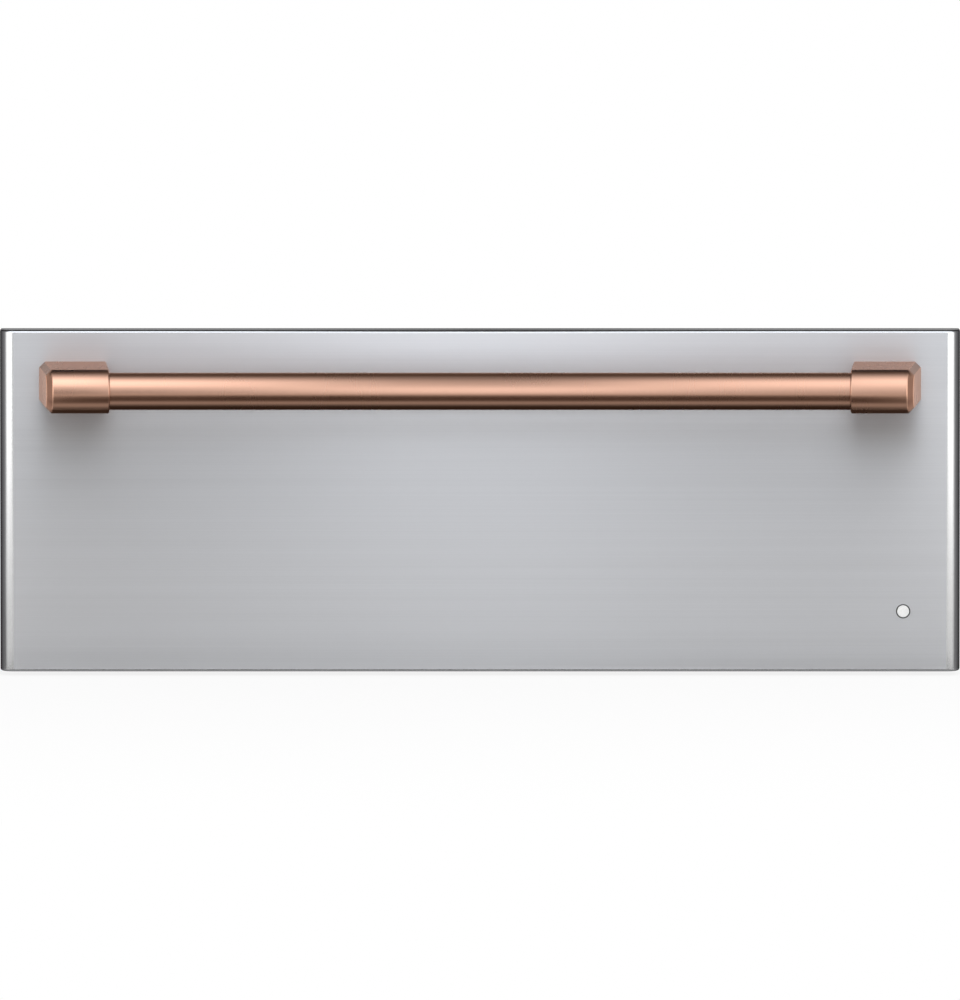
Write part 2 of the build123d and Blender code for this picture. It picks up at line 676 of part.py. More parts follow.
# Front frame. Only the right stile has a hole, for the power lamp.
def stile(side):
    """A stile of the front frame: hat, flange on the cabinet's face and tab inside the casing."""
    def across(near, far):
        return sorted((side * near, side * far))

    hat_z = (frame_bottom, frame_top)
    slab(across(liner_half, stile_outside), (frame_front, frame_web_back), hat_z)
    slab(across(stile_outside - FRAME_SHEET, stile_outside), (frame_front, face_y), hat_z)
    slab(across(liner_half, liner_half + FRAME_SHEET), (frame_front, face_y), hat_z)
    slab(across(liner_half, stile_outside), (frame_front, face_y), (frame_top - FRAME_SHEET, frame_top))
    flange_y = (face_y - FRAME_SHEET, face_y)
    slab(across(stile_outside - FRAME_SHEET, flange_half), flange_y, (frame_bottom, flange_top))
    slab(across(liner_half, flange_half), flange_y, (frame_top - FRAME_SHEET, flange_top))
    slab(across(stile_outside - FRAME_SHEET, stile_outside), (face_y - FRAME_SHEET, face_y + FRAME_TAB_DEPTH),
         (casing_floor + FRAME_TAB_MARGIN / 2, casing_roof - FRAME_TAB_MARGIN / 2))
    for z in row_z:
        drill((side * stile_outside, tab_y, z), (side, 0, 0), screw_hole, FRAME_SHEET + OVERRUN)
    for z in frame_hole_z:
        drill((side * (flange_half - FRAME_HOLE_EDGE), face_y - FRAME_SHEET, z), TO_FRONT,
              FRAME_HOLE_RADIUS, FRAME_SHEET + OVERRUN)


with BuildPart() as frame_stile_right:
    stile(1)
    fillet(frame_stile_right.faces().sort_by(Axis.Y)[0].edges().filter_by(Axis.Z).sort_by(Axis.X)[-1],
           FRAME_BEND_RADIUS)
    drill((lens_x, frame_front, lens_z), TO_FRONT, PIPE_RADIUS + PIPE_CLEARANCE, FRAME_SHEET + OVERRUN)
finish(frame_stile_right, "frame_stile_right")

with BuildPart() as frame_stile_left:
    stile(-1)
    fillet(frame_stile_left.faces().sort_by(Axis.Y)[0].edges().filter_by(Axis.Z).sort_by(Axis.X)[0],
           FRAME_BEND_RADIUS)
finish(frame_stile_left, "frame_stile_left")

with BuildPart() as frame_top_rail:
    width = (-liner_half, liner_half)
    slab(width, (frame_front, frame_web_back), (opening_top, frame_top))
    slab(width, (frame_front, face_y), (opening_top, opening_top + FRAME_SHEET))
    slab(width, (frame_front, face_y), (frame_top - FRAME_SHEET, frame_top))
    slab(width, (face_y - FRAME_SHEET, face_y), (frame_top - FRAME_SHEET, flange_top))
    for side in (-1, 1):
        guide = console_z + side * (shutter_half_height + SHUTTER_GAP)
        guide_back = shutter_back + SHUTTER_GAP + SHUTTER_GUIDE_SHEET
        guide_x = (shutter_left, shutter_right)
        slab(guide_x, (frame_web_back, guide_back), sorted((guide, guide + side * SHUTTER_GUIDE_SHEET)))
        slab(guide_x, (guide_back - SHUTTER_GUIDE_SHEET, guide_back),
             sorted((guide + side * SHUTTER_GUIDE_SHEET, guide - side * SHUTTER_GUIDE_LIP)))
    slab(around(CONSOLE_X, CONSOLE_WIDTH + 2 * CONSOLE_GAP),
         (frame_front - OVERRUN, frame_web_back + OVERRUN),
         around(console_z, CONSOLE_HEIGHT + 2 * CONSOLE_GAP), mode=Mode.SUBTRACT)
    with BuildSketch(facing(frame_front - OVERRUN)):
        with Locations((VENT_X, console_z)):
            with GridLocations(VENT_PITCH, VENT_SLOT_HEIGHT, VENT_SLOT_COUNT, 1):
                SlotOverall(VENT_SLOT_HEIGHT, VENT_SLOT_WIDTH, rotation=90)
        with Locations((shutter_tab_x + shutter_travel / 2, console_z)):
            Rectangle(SHUTTER_TAB_WIDTH + shutter_travel + 2 * SHUTTER_GAP,
                      SHUTTER_TAB_HEIGHT + 2 * SHUTTER_GAP)
    extrude(amount=-(FRAME_SHEET + OVERRUN + SHUTTER_GAP), mode=Mode.SUBTRACT)
finish(frame_top_rail, "frame_top_rail")

with BuildPart() as frame_bottom_rail:
    slab(width, (frame_front, frame_web_back), (frame_bottom, opening_bottom))
    slab(width, (frame_front, face_y), (frame_bottom, frame_bottom + FRAME_SHEET))
    slab(width, (frame_front, face_y), (opening_bottom - FRAME_SHEET, opening_bottom))
finish(frame_bottom_rail, "frame_bottom_rail")

# Moisture vent shutter. At rest its bars cover the frame's slots.
with BuildPart() as vent_slide:
    slab((shutter_left, shutter_right - shutter_travel), (shutter_front, shutter_back),
         around(console_z, 2 * shutter_half_height))
    slab(around(shutter_tab_x, SHUTTER_TAB_WIDTH), (frame_front - SHUTTER_TAB_PROUD, shutter_front),
         around(console_z, SHUTTER_TAB_HEIGHT))
    with BuildSketch(facing(shutter_front - OVERRUN)):
        with Locations((VENT_X - shutter_travel, console_z)):
            with GridLocations(VENT_PITCH, VENT_SLOT_HEIGHT, VENT_SLOT_COUNT, 1):
                SlotOverall(VENT_SLOT_HEIGHT, VENT_SLOT_WIDTH, rotation=90)
    extrude(amount=-(SHUTTER_SHEET + 2 * OVERRUN), mode=Mode.SUBTRACT)
finish(vent_slide, "vent_slide")

# Console tray, switch and knob.
with BuildPart() as control_console:
    tray_x = around(CONSOLE_X, CONSOLE_WIDTH)
    tray_z = around(console_z, CONSOLE_HEIGHT)
    slab(tray_x, (frame_front - CONSOLE_LIP_SHEET, console_floor + CONSOLE_WALL), tray_z)
    slab(around(CONSOLE_X, CONSOLE_WIDTH + 2 * CONSOLE_LIP), (frame_front - CONSOLE_LIP_SHEET, frame_front),
         around(console_z, CONSOLE_HEIGHT + 2 * CONSOLE_LIP))
    slab(around(CONSOLE_X, CONSOLE_WIDTH - 2 * CONSOLE_WALL), (frame_front - OVERRUN, console_floor),
         around(console_z, CONSOLE_HEIGHT - 2 * CONSOLE_WALL), mode=Mode.SUBTRACT)
    drill((CONSOLE_X, console_floor, console_z), TO_FRONT, SHAFT_RADIUS + SHAFT_HOLE_CLEARANCE,
          CONSOLE_WALL + OVERRUN)
finish(control_console, "control_console")

with BuildPart() as heat_control_switch:
    switch_front = console_floor + CONSOLE_WALL
    switch_back = switch_front + SWITCH_DEPTH
    slab(around(CONSOLE_X, SWITCH_WIDTH), (switch_front, switch_back), around(console_z, SWITCH_HEIGHT))
    for x in spread(-SWITCH_BLADE_SPACING / 2, SWITCH_BLADE_SPACING / 2, SWITCH_BLADE_COUNT):
        for z in spread(-SWITCH_BLADE_SPACING / 2, SWITCH_BLADE_SPACING / 2, SWITCH_BLADE_COUNT):
            slab(around(CONSOLE_X + x, SWITCH_BLADE_WIDTH), (switch_back, switch_back + SWITCH_BLADE_LENGTH),
                 around(console_z + z, SWITCH_BLADE_SHEET))
    rod((CONSOLE_X, switch_front, console_z), TO_FRONT, SHAFT_RADIUS,
        CONSOLE_WALL + KNOB_GAP + KNOB_BORE_DEPTH - SHAFT_CLEARANCE)
finish(heat_control_switch, "heat_control_switch")

with BuildPart() as control_knob:
    knob_back = console_floor - KNOB_GAP
    knob_front = knob_back - KNOB_HEIGHT
    with BuildSketch(facing(knob_back)):
        with Locations((CONSOLE_X, console_z)):
            Circle(KNOB_RADIUS)
    extrude(amount=KNOB_HEIGHT)
    fillet(control_knob.faces().sort_by(Axis.Y)[0].edges(), KNOB_EDGE_RADIUS)
    with BuildSketch(facing(knob_back + OVERRUN)):
        with Locations((CONSOLE_X, console_z)):
            with PolarLocations(KNOB_RADIUS + KNOB_FLUTE_RADIUS - KNOB_FLUTE_DEPTH, KNOB_FLUTE_COUNT):
                Circle(KNOB_FLUTE_RADIUS)
    extrude(amount=KNOB_HEIGHT + 2 * OVERRUN, mode=Mode.SUBTRACT)
    drill((CONSOLE_X, knob_back, console_z), TO_BACK, SHAFT_RADIUS + SHAFT_CLEARANCE, KNOB_BORE_DEPTH)
    pointer_top = console_z + KNOB_RADIUS - KNOB_EDGE_RADIUS - KNOB_FLUTE_DEPTH
    slab(around(CONSOLE_X, KNOB_POINTER_WIDTH), (knob_front - OVERRUN, knob_front + KNOB_POINTER_DEPTH),
         (pointer_top - KNOB_POINTER_LENGTH, pointer_top), mode=Mode.SUBTRACT)
finish(control_knob, "control_knob")

# Telescopic slides, right side first and then its mirror image.
def rail_lip(side, height, outwards):
    """A lip at a flange's tip that keeps the balls in, on its outer (1) or inner (-1) face."""
    strip(reach_span(RAIL_REACH - RAIL_LIP, RAIL_REACH),
          height_span(side, height, height + outwards * RAIL_LIP_HEIGHT))


def cage(web_reach, row, ball_reach):
    """A bent strip with round holes, and the balls that it keeps apart."""
    with BuildSketch(facing(cage_front + cage_length)) as section:
        strip(reach_span(web_reach, web_reach + CAGE_SHEET), height_span(1, -row, row))
        for side in (-1, 1):
            strip(reach_span(web_reach, RAIL_REACH - CAGE_TIP_GAP),
                  height_span(side, row - CAGE_SHEET / 2, row + CAGE_SHEET / 2))
    extrude(section.sketch, amount=cage_length)
    pitch = cage_length / BALL_COUNT
    balls = [(liner_half - ball_reach, y, slide_z + side * row) for side in (-1, 1)
             for y in spread(cage_front + pitch / 2, cage_front + cage_length - pitch / 2, BALL_COUNT)]
    with Locations(*balls):
        Cylinder(BALL_RADIUS + BALL_CLEARANCE, CAGE_SHEET + 2 * BALL_CLEARANCE, mode=Mode.SUBTRACT)
    with Locations(*balls):
        Sphere(BALL_RADIUS)


outer_cage_web = RAIL_SHEET + (RAIL_WEB_GAP - CAGE_SHEET) / 2
inner_cage_web = middle_web + RAIL_SHEET + (RAIL_WEB_GAP - CAGE_SHEET) / 2
cage_tip = RAIL_REACH - CAGE_TIP_GAP
outer_row = cabinet_inner - ball_space / 2
inner_row = middle_inner - ball_space / 2

with BuildPart() as cabinet_rail_right:
    with BuildSketch(facing(rail_back)):
        strip(reach_span(0, RAIL_SHEET), height_span(1, -cabinet_outer, cabinet_outer))
        for side in (-1, 1):
            strip(reach_span(0, RAIL_REACH), height_span(side, cabinet_inner, cabinet_outer))
            rail_lip(side, cabinet_inner, -1)
    extrude(amount=rail_length)
    for y in rail_screw_y:
        drill((liner_half - RAIL_SHEET, y, slide_z), TO_LEFT, screw_hole,
              RAIL_SHEET + OVERRUN)
finish(cabinet_rail_right, "cabinet_rail_right")

with BuildPart() as intermediate_rail_right:
    with BuildSketch(facing(rail_back)):
        strip(reach_span(middle_web, middle_web + RAIL_SHEET), height_span(1, -middle_outer, middle_outer))
        for side in (-1, 1):
            strip(reach_span(middle_web, RAIL_REACH), height_span(side, middle_inner, middle_outer))
            rail_lip(side, middle_outer, 1)
            rail_lip(side, middle_inner, -1)
    extrude(amount=rail_length)
finish(intermediate_rail_right, "intermediate_rail_right")

with BuildPart() as drawer_rail_right:
    with BuildSketch(facing(rail_back)):
        strip(reach_span(drawer_web, slide_depth), height_span(1, -drawer_outer, drawer_outer))
        for side in (-1, 1):
            strip(reach_span(drawer_flange_tip, slide_depth), height_span(side, drawer_inner, drawer_outer))
    extrude(amount=rail_length)
    pivot = (liner_half - drawer_web, lever_pivot_y, slide_z)
    rod(pivot, TO_RIGHT, LEVER_BOSS_RADIUS, LEVER_BOSS_HEIGHT)
    rod(pivot, TO_RIGHT, LEVER_PIN_RADIUS, LEVER_BOSS_HEIGHT + LEVER_THICKNESS + 2 * LEVER_SIDE_GAP)
    pierce(rail_seats, TO_RIGHT, RAIL_SHEET)
finish(drawer_rail_right, "drawer_rail_right")

with BuildPart() as ball_cage_outer_right:
    cage(outer_cage_web, outer_row, (outer_cage_web + CAGE_SHEET + cage_tip) / 2)
finish(ball_cage_outer_right, "ball_cage_outer_right")

with BuildPart() as ball_cage_inner_right:
    cage(inner_cage_web, inner_row, (inner_cage_web + CAGE_SHEET + cage_tip) / 2)
finish(ball_cage_inner_right, "ball_cage_inner_right")

with BuildPart() as release_lever_right:
    lever_x = liner_half - drawer_web + LEVER_BOSS_HEIGHT + LEVER_SIDE_GAP
    with BuildSketch(Plane.YZ.offset(lever_x)):
        with Locations((lever_pivot_y - LEVER_LENGTH / 2, slide_z)):
            SlotCenterToCenter(LEVER_LENGTH - LEVER_HEIGHT, LEVER_HEIGHT)
        with Locations((lever_pivot_y, slide_z)):
            Circle(LEVER_EYE_RADIUS)
            Circle(LEVER_PIN_RADIUS + LEVER_PIN_CLEARANCE, mode=Mode.SUBTRACT)
    extrude(amount=LEVER_THICKNESS)
finish(release_lever_right, "release_lever_right")

with BuildPart() as cabinet_rail_left:
    mirror(cabinet_rail_right.part, about=Plane.YZ)
finish(cabinet_rail_left, "cabinet_rail_left")

with BuildPart() as intermediate_rail_left:
    mirror(intermediate_rail_right.part, about=Plane.YZ)
finish(intermediate_rail_left, "intermediate_rail_left")

with BuildPart() as drawer_rail_left:
    mirror(drawer_rail_right.part, about=Plane.YZ)
finish(drawer_rail_left, "drawer_rail_left")

with BuildPart() as ball_cage_outer_left:
    mirror(ball_cage_outer_right.part, about=Plane.YZ)
finish(ball_cage_outer_left, "ball_cage_outer_left")

with BuildPart() as ball_cage_inner_left:
    mirror(ball_cage_inner_right.part, about=Plane.YZ)
finish(ball_cage_inner_left, "ball_cage_inner_left")

with BuildPart() as release_lever_left:
    mirror(release_lever_right.part, about=Plane.YZ)
finish(release_lever_left, "release_lever_left")

# Spacers that carry the slides on the casing, and the flat-headed screws inside the rails.
with BuildPart() as rail_standoffs:
    for side in (-1, 1):
        for y in rail_screw_y:
            rod((side * liner_outside, y, slide_z), (side, 0, 0), STANDOFF_RADIUS, SIDE_INSULATION)
            drill((side * casing_inside, y, slide_z), (side, 0, 0), screw_hole,
                  SIDE_INSULATION + OVERRUN)
finish(rail_standoffs, "rail_standoffs")

with BuildPart() as rail_screws:
    for side in (-1, 1):
        for y in rail_screw_y:
            seat = (side * (liner_half - RAIL_SHEET), y, slide_z)
            rod(seat, (-side, 0, 0), RAIL_SCREW_HEAD_RADIUS, RAIL_SCREW_HEAD_HEIGHT)
            rod(seat, (side, 0, 0), SCREW_RADIUS, SCREW_LENGTH)
finish(rail_screws, "rail_screws")

with BuildPart() as body_screws:
    hex_screws(top_seats, UPWARDS)
    hex_screws(base_seats, DOWNWARDS)
    hex_screws(rear_seats, TO_BACK)
    hex_screws(box_seats, TO_BACK)
    hex_screws(cover_seats, TO_BACK)
    hex_screws(side_seats, TO_RIGHT)
    hex_screws(mirrored(side_seats), TO_LEFT)
finish(body_screws, "body_screws")

# Heating element: one bent tube whose two tails pass through the rear into the wiring box.
with BuildPart() as heating_element:
    with BuildLine():
        FilletPolyline((-ELEMENT_NECK, element_end, element_z), (-ELEMENT_NECK, element_back, element_z),
                       (-element_half, element_back, element_z),
                       (-element_half, element_front, element_z),
                       (element_half, element_front, element_z),
                       (element_half, element_back, element_z),
                       (ELEMENT_NECK, element_back, element_z), (ELEMENT_NECK, element_end, element_z),
                       radius=ELEMENT_BEND_RADIUS)
    with BuildSketch(Plane(origin=(-ELEMENT_NECK, element_end, element_z), z_dir=TO_FRONT)):
        Circle(ELEMENT_RADIUS)
    sweep()
finish(heating_element, "heating_element")

with BuildPart() as element_clips:
    clip_top = element_z + ELEMENT_RADIUS + CLIP_WALL
    clip_size = 2 * (ELEMENT_RADIUS + CLIP_WALL)
    hole = ELEMENT_RADIUS + CLIP_CLEARANCE
    for side in (-1, 1):
        x = side * element_half
        slab(around(x, clip_size), around(element_middle, CLIP_WIDTH), (liner_floor_top, clip_top))
        drill((x, element_middle - CLIP_WIDTH / 2, element_z), TO_FRONT, hole, CLIP_WIDTH + OVERRUN)
    slab(around(0, CLIP_WIDTH), around(element_front, clip_size), (liner_floor_top, clip_top))
    drill((CLIP_WIDTH / 2, element_front, element_z), TO_RIGHT, hole, CLIP_WIDTH + OVERRUN)
finish(element_clips, "element_clips")

with BuildPart() as heat_shield:
    slab((-shield_half, shield_half), (shield_front, shield_back), (shield_top - SHIELD_SHEET, shield_top))
    for side in (-1, 1):
        slab(sorted((side * shield_half, side * (shield_half - SHIELD_SHEET))), (shield_front, shield_back),
             (liner_floor_top, shield_top))
    with BuildSketch(Plane.XY.offset(shield_top + OVERRUN)):
        with Locations((0, (shield_front + shield_back) / 2)):
            with GridLocations(SHIELD_SLOT_PITCH_X, SHIELD_SLOT_PITCH_Y, slot_columns, slot_rows):
                SlotOverall(SHIELD_SLOT_LENGTH, SHIELD_SLOT_WIDTH)
    extrude(amount=-(SHIELD_SHEET + 2 * OVERRUN), mode=Mode.SUBTRACT)
finish(heat_shield, "heat_shield")

with BuildPart() as temperature_sensor:
    sensor_z = liner_roof - SENSOR_DROP
    slab(around(SENSOR_X, SENSOR_PLATE_WIDTH), (liner_back - SENSOR_PLATE_SHEET, liner_back),
         around(sensor_z, SENSOR_PLATE_HEIGHT))
    fillet(temperature_sensor.edges().filter_by(Axis.Y), SENSOR_PLATE_WIDTH / 4)
    rod((SENSOR_X, liner_back, sensor_z), TO_FRONT, SENSOR_RADIUS, SENSOR_LENGTH)
    fillet(temperature_sensor.faces().sort_by(Axis.Y)[0].edges(), SENSOR_RADIUS / 2)
finish(temperature_sensor, "temperature_sensor")

with BuildPart() as limit_thermostat:
    with BuildSketch(Plane.XY.offset(liner_roof_top)):
        with Locations((0, face_y + CUTOUT_Y)):
            SlotOverall(CUTOUT_EAR_LENGTH, CUTOUT_EAR_WIDTH)
    extrude(amount=CUTOUT_EAR_SHEET)
    rod((0, face_y + CUTOUT_Y, liner_roof_top), UPWARDS, CUTOUT_RADIUS, CUTOUT_HEIGHT)
finish(limit_thermostat, "limit_thermostat")

# Wiring box: four walls with flanges on the rear panel, a cover, and the gland in its right wall.
with BuildPart() as wiring_box:
    box_x, box_z = (-box_half, box_half), (box_bottom, box_top)
    slab(box_x, (body_back, box_back), box_z)
    slab((BOX_SHEET - box_half, box_half - BOX_SHEET), (body_back - OVERRUN, box_back + OVERRUN),
         (box_bottom + BOX_SHEET, box_top - BOX_SHEET), mode=Mode.SUBTRACT)
    for side in (-1, 1):
        slab(sorted((side * box_half, side * (box_half + BOX_FLANGE))),
             (body_back, body_back + BOX_SHEET), box_z)
    tab_x = around(0, BOX_TAB_WIDTH)
    slab(tab_x, (box_back - BOX_SHEET, box_back), (box_bottom, box_bottom + BOX_TAB_HEIGHT))
    slab(tab_x, (box_back - BOX_SHEET, box_back), (box_top - BOX_TAB_HEIGHT, box_top))
    pierce(box_seats, TO_BACK, BOX_SHEET)
    pierce(cover_seats, TO_BACK, 2 * BOX_SHEET)
    drill((box_half, gland_y, gland_z), TO_RIGHT, GLAND_BODY_RADIUS + GLAND_CLEARANCE, BOX_SHEET + OVERRUN)
finish(wiring_box, "wiring_box")

with BuildPart() as wiring_box_cover:
    slab(box_x, (box_back, box_back + BOX_SHEET), box_z)
    pierce(cover_seats, TO_BACK, BOX_SHEET)
finish(wiring_box_cover, "wiring_box_cover")

with BuildPart() as cord_gland:
    gland = (box_half, gland_y, gland_z)
    gland_inside = (box_half - BOX_SHEET, gland_y, gland_z)
    rod(gland, TO_RIGHT, GLAND_FLANGE_RADIUS, GLAND_FLANGE_HEIGHT)
    rod(gland, TO_RIGHT, GLAND_NOSE_RADIUS, GLAND_FLANGE_HEIGHT + GLAND_NOSE_LENGTH)
    rod(gland, TO_LEFT, GLAND_BODY_RADIUS, BOX_SHEET)
    rod(gland_inside, TO_LEFT, GLAND_FLANGE_RADIUS, GLAND_NUT_HEIGHT)
    gland_tip = (box_half + GLAND_FLANGE_HEIGHT + GLAND_NOSE_LENGTH, gland_y, gland_z)
    drill(gland_tip, TO_RIGHT, GLAND_BORE_RADIUS,
          GLAND_FLANGE_HEIGHT + GLAND_NOSE_LENGTH + BOX_SHEET + GLAND_NUT_HEIGHT + OVERRUN)
finish(cord_gland, "cord_gland")

# Power lamp in the right stile, opposite the end of the lens.
with BuildPart() as indicator_lamp:
    rod((lens_x, frame_front, lens_z), TO_FRONT, LAMP_FLANGE_RADIUS, LAMP_FLANGE_HEIGHT)
    rod((lens_x, frame_front, lens_z), TO_BACK, PIPE_RADIUS, LAMP_LENGTH)
finish(indicator_lamp, "indicator_lamp")

# Drawer front. The block is formed first, then hollowed by a second block one sheet smaller.
def formed_block(block, half_width, y_span, z_span, edge_radius, bend_radius):
    """A block with round vertical front edges and a small bend along the rest of its front."""
    front, back = y_span
    with BuildSketch(Plane.XY.offset(z_span[0])) as plan:
        strip((-half_width, half_width), (front, back))
    extrude(plan.sketch, amount=z_span[1] - z_span[0])
    fillet(block.edges().filter_by(Axis.Z).group_by(Axis.Y)[0], edge_radius)
    fillet([edge for end in block.faces().filter_by(Axis.Z) for edge in end.edges().sort_by(Axis.Y)[:-1]],
           bend_radius)


with BuildPart() as front_void:
    formed_block(front_void, front_half - FRONT_SHEET, (front_inside, inner_front - FRONT_SHEET),
                 (front_bottom + FRONT_SHEET, front_top - FRONT_SHEET),
                 FRONT_EDGE_RADIUS - FRONT_SHEET, FRONT_BEND_RADIUS - FRONT_SHEET)

with BuildPart() as front_panel:
    formed_block(front_panel, front_half, (front_face, inner_front), (front_bottom, front_top),
                 FRONT_EDGE_RADIUS, FRONT_BEND_RADIUS)
    add(front_void.part, mode=Mode.SUBTRACT)
    slab((FRONT_RETURN - front_half, front_half - FRONT_RETURN),
         (inner_front - FRONT_SHEET - OVERRUN, inner_front + OVERRUN),
         (front_bottom + FRONT_RETURN, front_top - FRONT_RETURN), mode=Mode.SUBTRACT)
    pierce([(x, inner_front, z) for x, y, z in panel_seats], TO_BACK, FRONT_SHEET)
    drill((lens_x, front_face, lens_z), TO_FRONT, LENS_RADIUS + LENS_RING, FRONT_SHEET + OVERRUN)
    for x, y, z in handle_seats:
        drill((x, front_face, z), TO_FRONT, handle_screw_hole, FRONT_SHEET + OVERRUN)
finish(front_panel, "front_panel")

with BuildPart() as front_inner_panel:
    slab((INNER_MARGIN - front_half, front_half - INNER_MARGIN), (inner_front, inner_back),
         (front_bottom + INNER_MARGIN, front_top - INNER_MARGIN))
    fillet(front_inner_panel.edges().filter_by(Axis.Y), INNER_MARGIN)
    pierce(panel_seats + tab_seats + bar_seats, TO_BACK, INNER_SHEET + DRAWER_SHEET)
    drill((lens_x, inner_back, lens_z), TO_BACK, PIPE_RADIUS + PIPE_CLEARANCE, INNER_SHEET + OVERRUN)
finish(front_inner_panel, "front_inner_panel")

with BuildPart() as front_insulation:
    pad_margin = FRONT_RETURN + SOFT_GAP
    slab((pad_margin - front_half, front_half - pad_margin),
         (front_inside + SOFT_GAP, inner_front - SOFT_GAP),
         (front_bottom + pad_margin, front_top - pad_margin))
    for x, y, z in tab_seats + bar_seats:
        drill((x, inner_back, z), TO_BACK, SCREW_RADIUS + SOFT_GAP, SCREW_LENGTH + OVERRUN)
    for x, y, z in handle_seats:
        drill((x, front_face, z), TO_FRONT, HANDLE_SCREW_HEAD_RADIUS + SOFT_GAP, FRONT_DEPTH + OVERRUN)
    drill((lens_x, front_face, lens_z), TO_FRONT, LENS_FLANGE_RADIUS + SOFT_GAP, FRONT_DEPTH + OVERRUN)
finish(front_insulation, "front_insulation")

with BuildPart() as front_gasket:
    gasket_half = liner_half + GASKET_SIDE_OFFSET
    gasket_low = opening_bottom - GASKET_BOTTOM_OFFSET
    gasket_high = opening_top + GASKET_TOP_OFFSET
    with BuildSketch(facing(inner_back)):
        with Locations((0, (gasket_low + gasket_high) / 2)):
            RectangleRounded(2 * (gasket_half + GASKET_WIDTH), gasket_high - gasket_low + 2 * GASKET_WIDTH,
                             GASKET_CORNER_RADIUS)
            RectangleRounded(2 * gasket_half, gasket_high - gasket_low, GASKET_CORNER_RADIUS - GASKET_WIDTH,
                             mode=Mode.SUBTRACT)
    extrude(amount=-(GASKET_SPACE - SOFT_GAP))
    fillet(front_gasket.faces().sort_by(Axis.Y)[-1].edges(), GASKET_LIP_RADIUS)
finish(front_gasket, "front_gasket")

# Handle. Each post is a flared plan cut to a D-shaped section: round in front, flat above and below.
with BuildPart() as handle_end_right:
    with BuildSketch(Plane.XY.offset(bar_z - POST_RADIUS)):
        with BuildLine():
            Polyline((post_inner_front, bar_y - POST_RADIUS), (post_outer_front, bar_y - POST_RADIUS),
                     (post_outer_back, front_face), (post_inner_back, front_face), close=True)
        make_face()
    extrude(amount=2 * POST_RADIUS)
    with BuildSketch(Plane.YZ.offset(post_inner_front)):
        with Locations((bar_y, bar_z)):
            Circle(POST_RADIUS)
        strip((bar_y, front_face), (bar_z - POST_RADIUS, bar_z + POST_RADIUS))
    extrude(amount=post_outer_back - post_inner_front, mode=Mode.INTERSECT)
    outer_end = handle_end_right.faces().sort_by(Axis.X)[-1]
    chamfer(outer_end.edges().sort_by(Axis.Y)[:-1], POST_CHAMFER)
    inner_end = handle_end_right.faces().sort_by(Axis.X)[0]
    chamfer(inner_end.edges().sort_by(Axis.Y)[:-1], POST_INNER_CHAMFER)
    drill((post_inner_front, bar_y, bar_z), TO_LEFT, BAR_RADIUS + SOCKET_CLEARANCE, SOCKET_DEPTH)
    for x, y, z in handle_seats:
        if x > 0:
            drill((x, front_face, z), TO_BACK, handle_screw_hole,
                  HANDLE_SCREW_LENGTH - FRONT_SHEET + HANDLE_SCREW_END_GAP)
finish(handle_end_right, "handle_end_right")

with BuildPart() as handle_end_left:
    mirror(handle_end_right.part, about=Plane.YZ)
finish(handle_end_left, "handle_end_left")

with BuildPart() as handle_bar:
    bar_half = post_inner_front + SOCKET_DEPTH - SOCKET_CLEARANCE
    with BuildSketch(Plane.YZ.offset(-bar_half)):
        with Locations((bar_y, bar_z)):
            Circle(BAR_RADIUS)
            Circle(BAR_RADIUS - BAR_WALL, mode=Mode.SUBTRACT)
    extrude(amount=2 * bar_half)
finish(handle_bar, "handle_bar")

with BuildPart() as handle_screws:
    for seat in handle_seats:
        rod(seat, TO_BACK, HANDLE_SCREW_HEAD_RADIUS, HANDLE_SCREW_HEAD_HEIGHT)
        rod(seat, TO_FRONT, HANDLE_SCREW_RADIUS, HANDLE_SCREW_LENGTH)
finish(handle_screws, "handle_screws")

# Lens: a crowned head in the panel's hole, a flange behind the sheet and a light pipe to the back.
with BuildPart() as indicator_lens:
    rod((lens_x, front_inside, lens_z), TO_FRONT, LENS_RADIUS, FRONT_SHEET + LENS_PROUD + LENS_CROWN)
    fillet(indicator_lens.faces().sort_by(Axis.Y)[0].edges(), LENS_CROWN)
    rod((lens_x, front_inside, lens_z), TO_BACK, LENS_FLANGE_RADIUS, LENS_FLANGE_HEIGHT)
    rod((lens_x, front_inside, lens_z), TO_BACK, PIPE_RADIUS, inner_back - front_inside + PIPE_END)
finish(indicator_lens, "indicator_lens")

# Drawer frame: two sides, a rear and a front bar, all with ledges for the pan's rim.
with BuildPart() as drawer_side_right:
    side_y = (inner_back, drawer_back)
    slab((drawer_inside, drawer_half), side_y, (drawer_bottom, rim_z))
    slab((ledge_inside, drawer_half), (inner_back, drawer_back - DRAWER_LEDGE), (ledge_z, rim_z))
    slab((drawer_half - DRAWER_FOOT, drawer_half), side_y, (drawer_bottom, drawer_bottom + DRAWER_SHEET))
    slab((tab_inside, drawer_half), (inner_back, inner_back + DRAWER_SHEET), (drawer_bottom, ledge_z))
    pierce([seat for seat in tab_seats if seat[0] > 0], TO_BACK, DRAWER_SHEET)
    pierce([(drawer_half, y, slide_z) for y in rail_screw_y], TO_RIGHT, DRAWER_SHEET)
finish(drawer_side_right, "drawer_side_right")

with BuildPart() as drawer_side_left:
    mirror(drawer_side_right.part, about=Plane.YZ)
finish(drawer_side_left, "drawer_side_left")

with BuildPart() as drawer_rear:
    rear_half = drawer_half - DRAWER_FOOT
    slab((-drawer_inside, drawer_inside), (drawer_back - DRAWER_SHEET, drawer_back),
         (drawer_bottom + DRAWER_SHEET, rim_z))
    slab((-drawer_inside, drawer_inside), (drawer_back - DRAWER_LEDGE, drawer_back), (ledge_z, rim_z))
    slab((-rear_half, rear_half), (drawer_back - DRAWER_FOOT, drawer_back),
         (drawer_bottom, drawer_bottom + DRAWER_SHEET))
finish(drawer_rear, "drawer_rear")

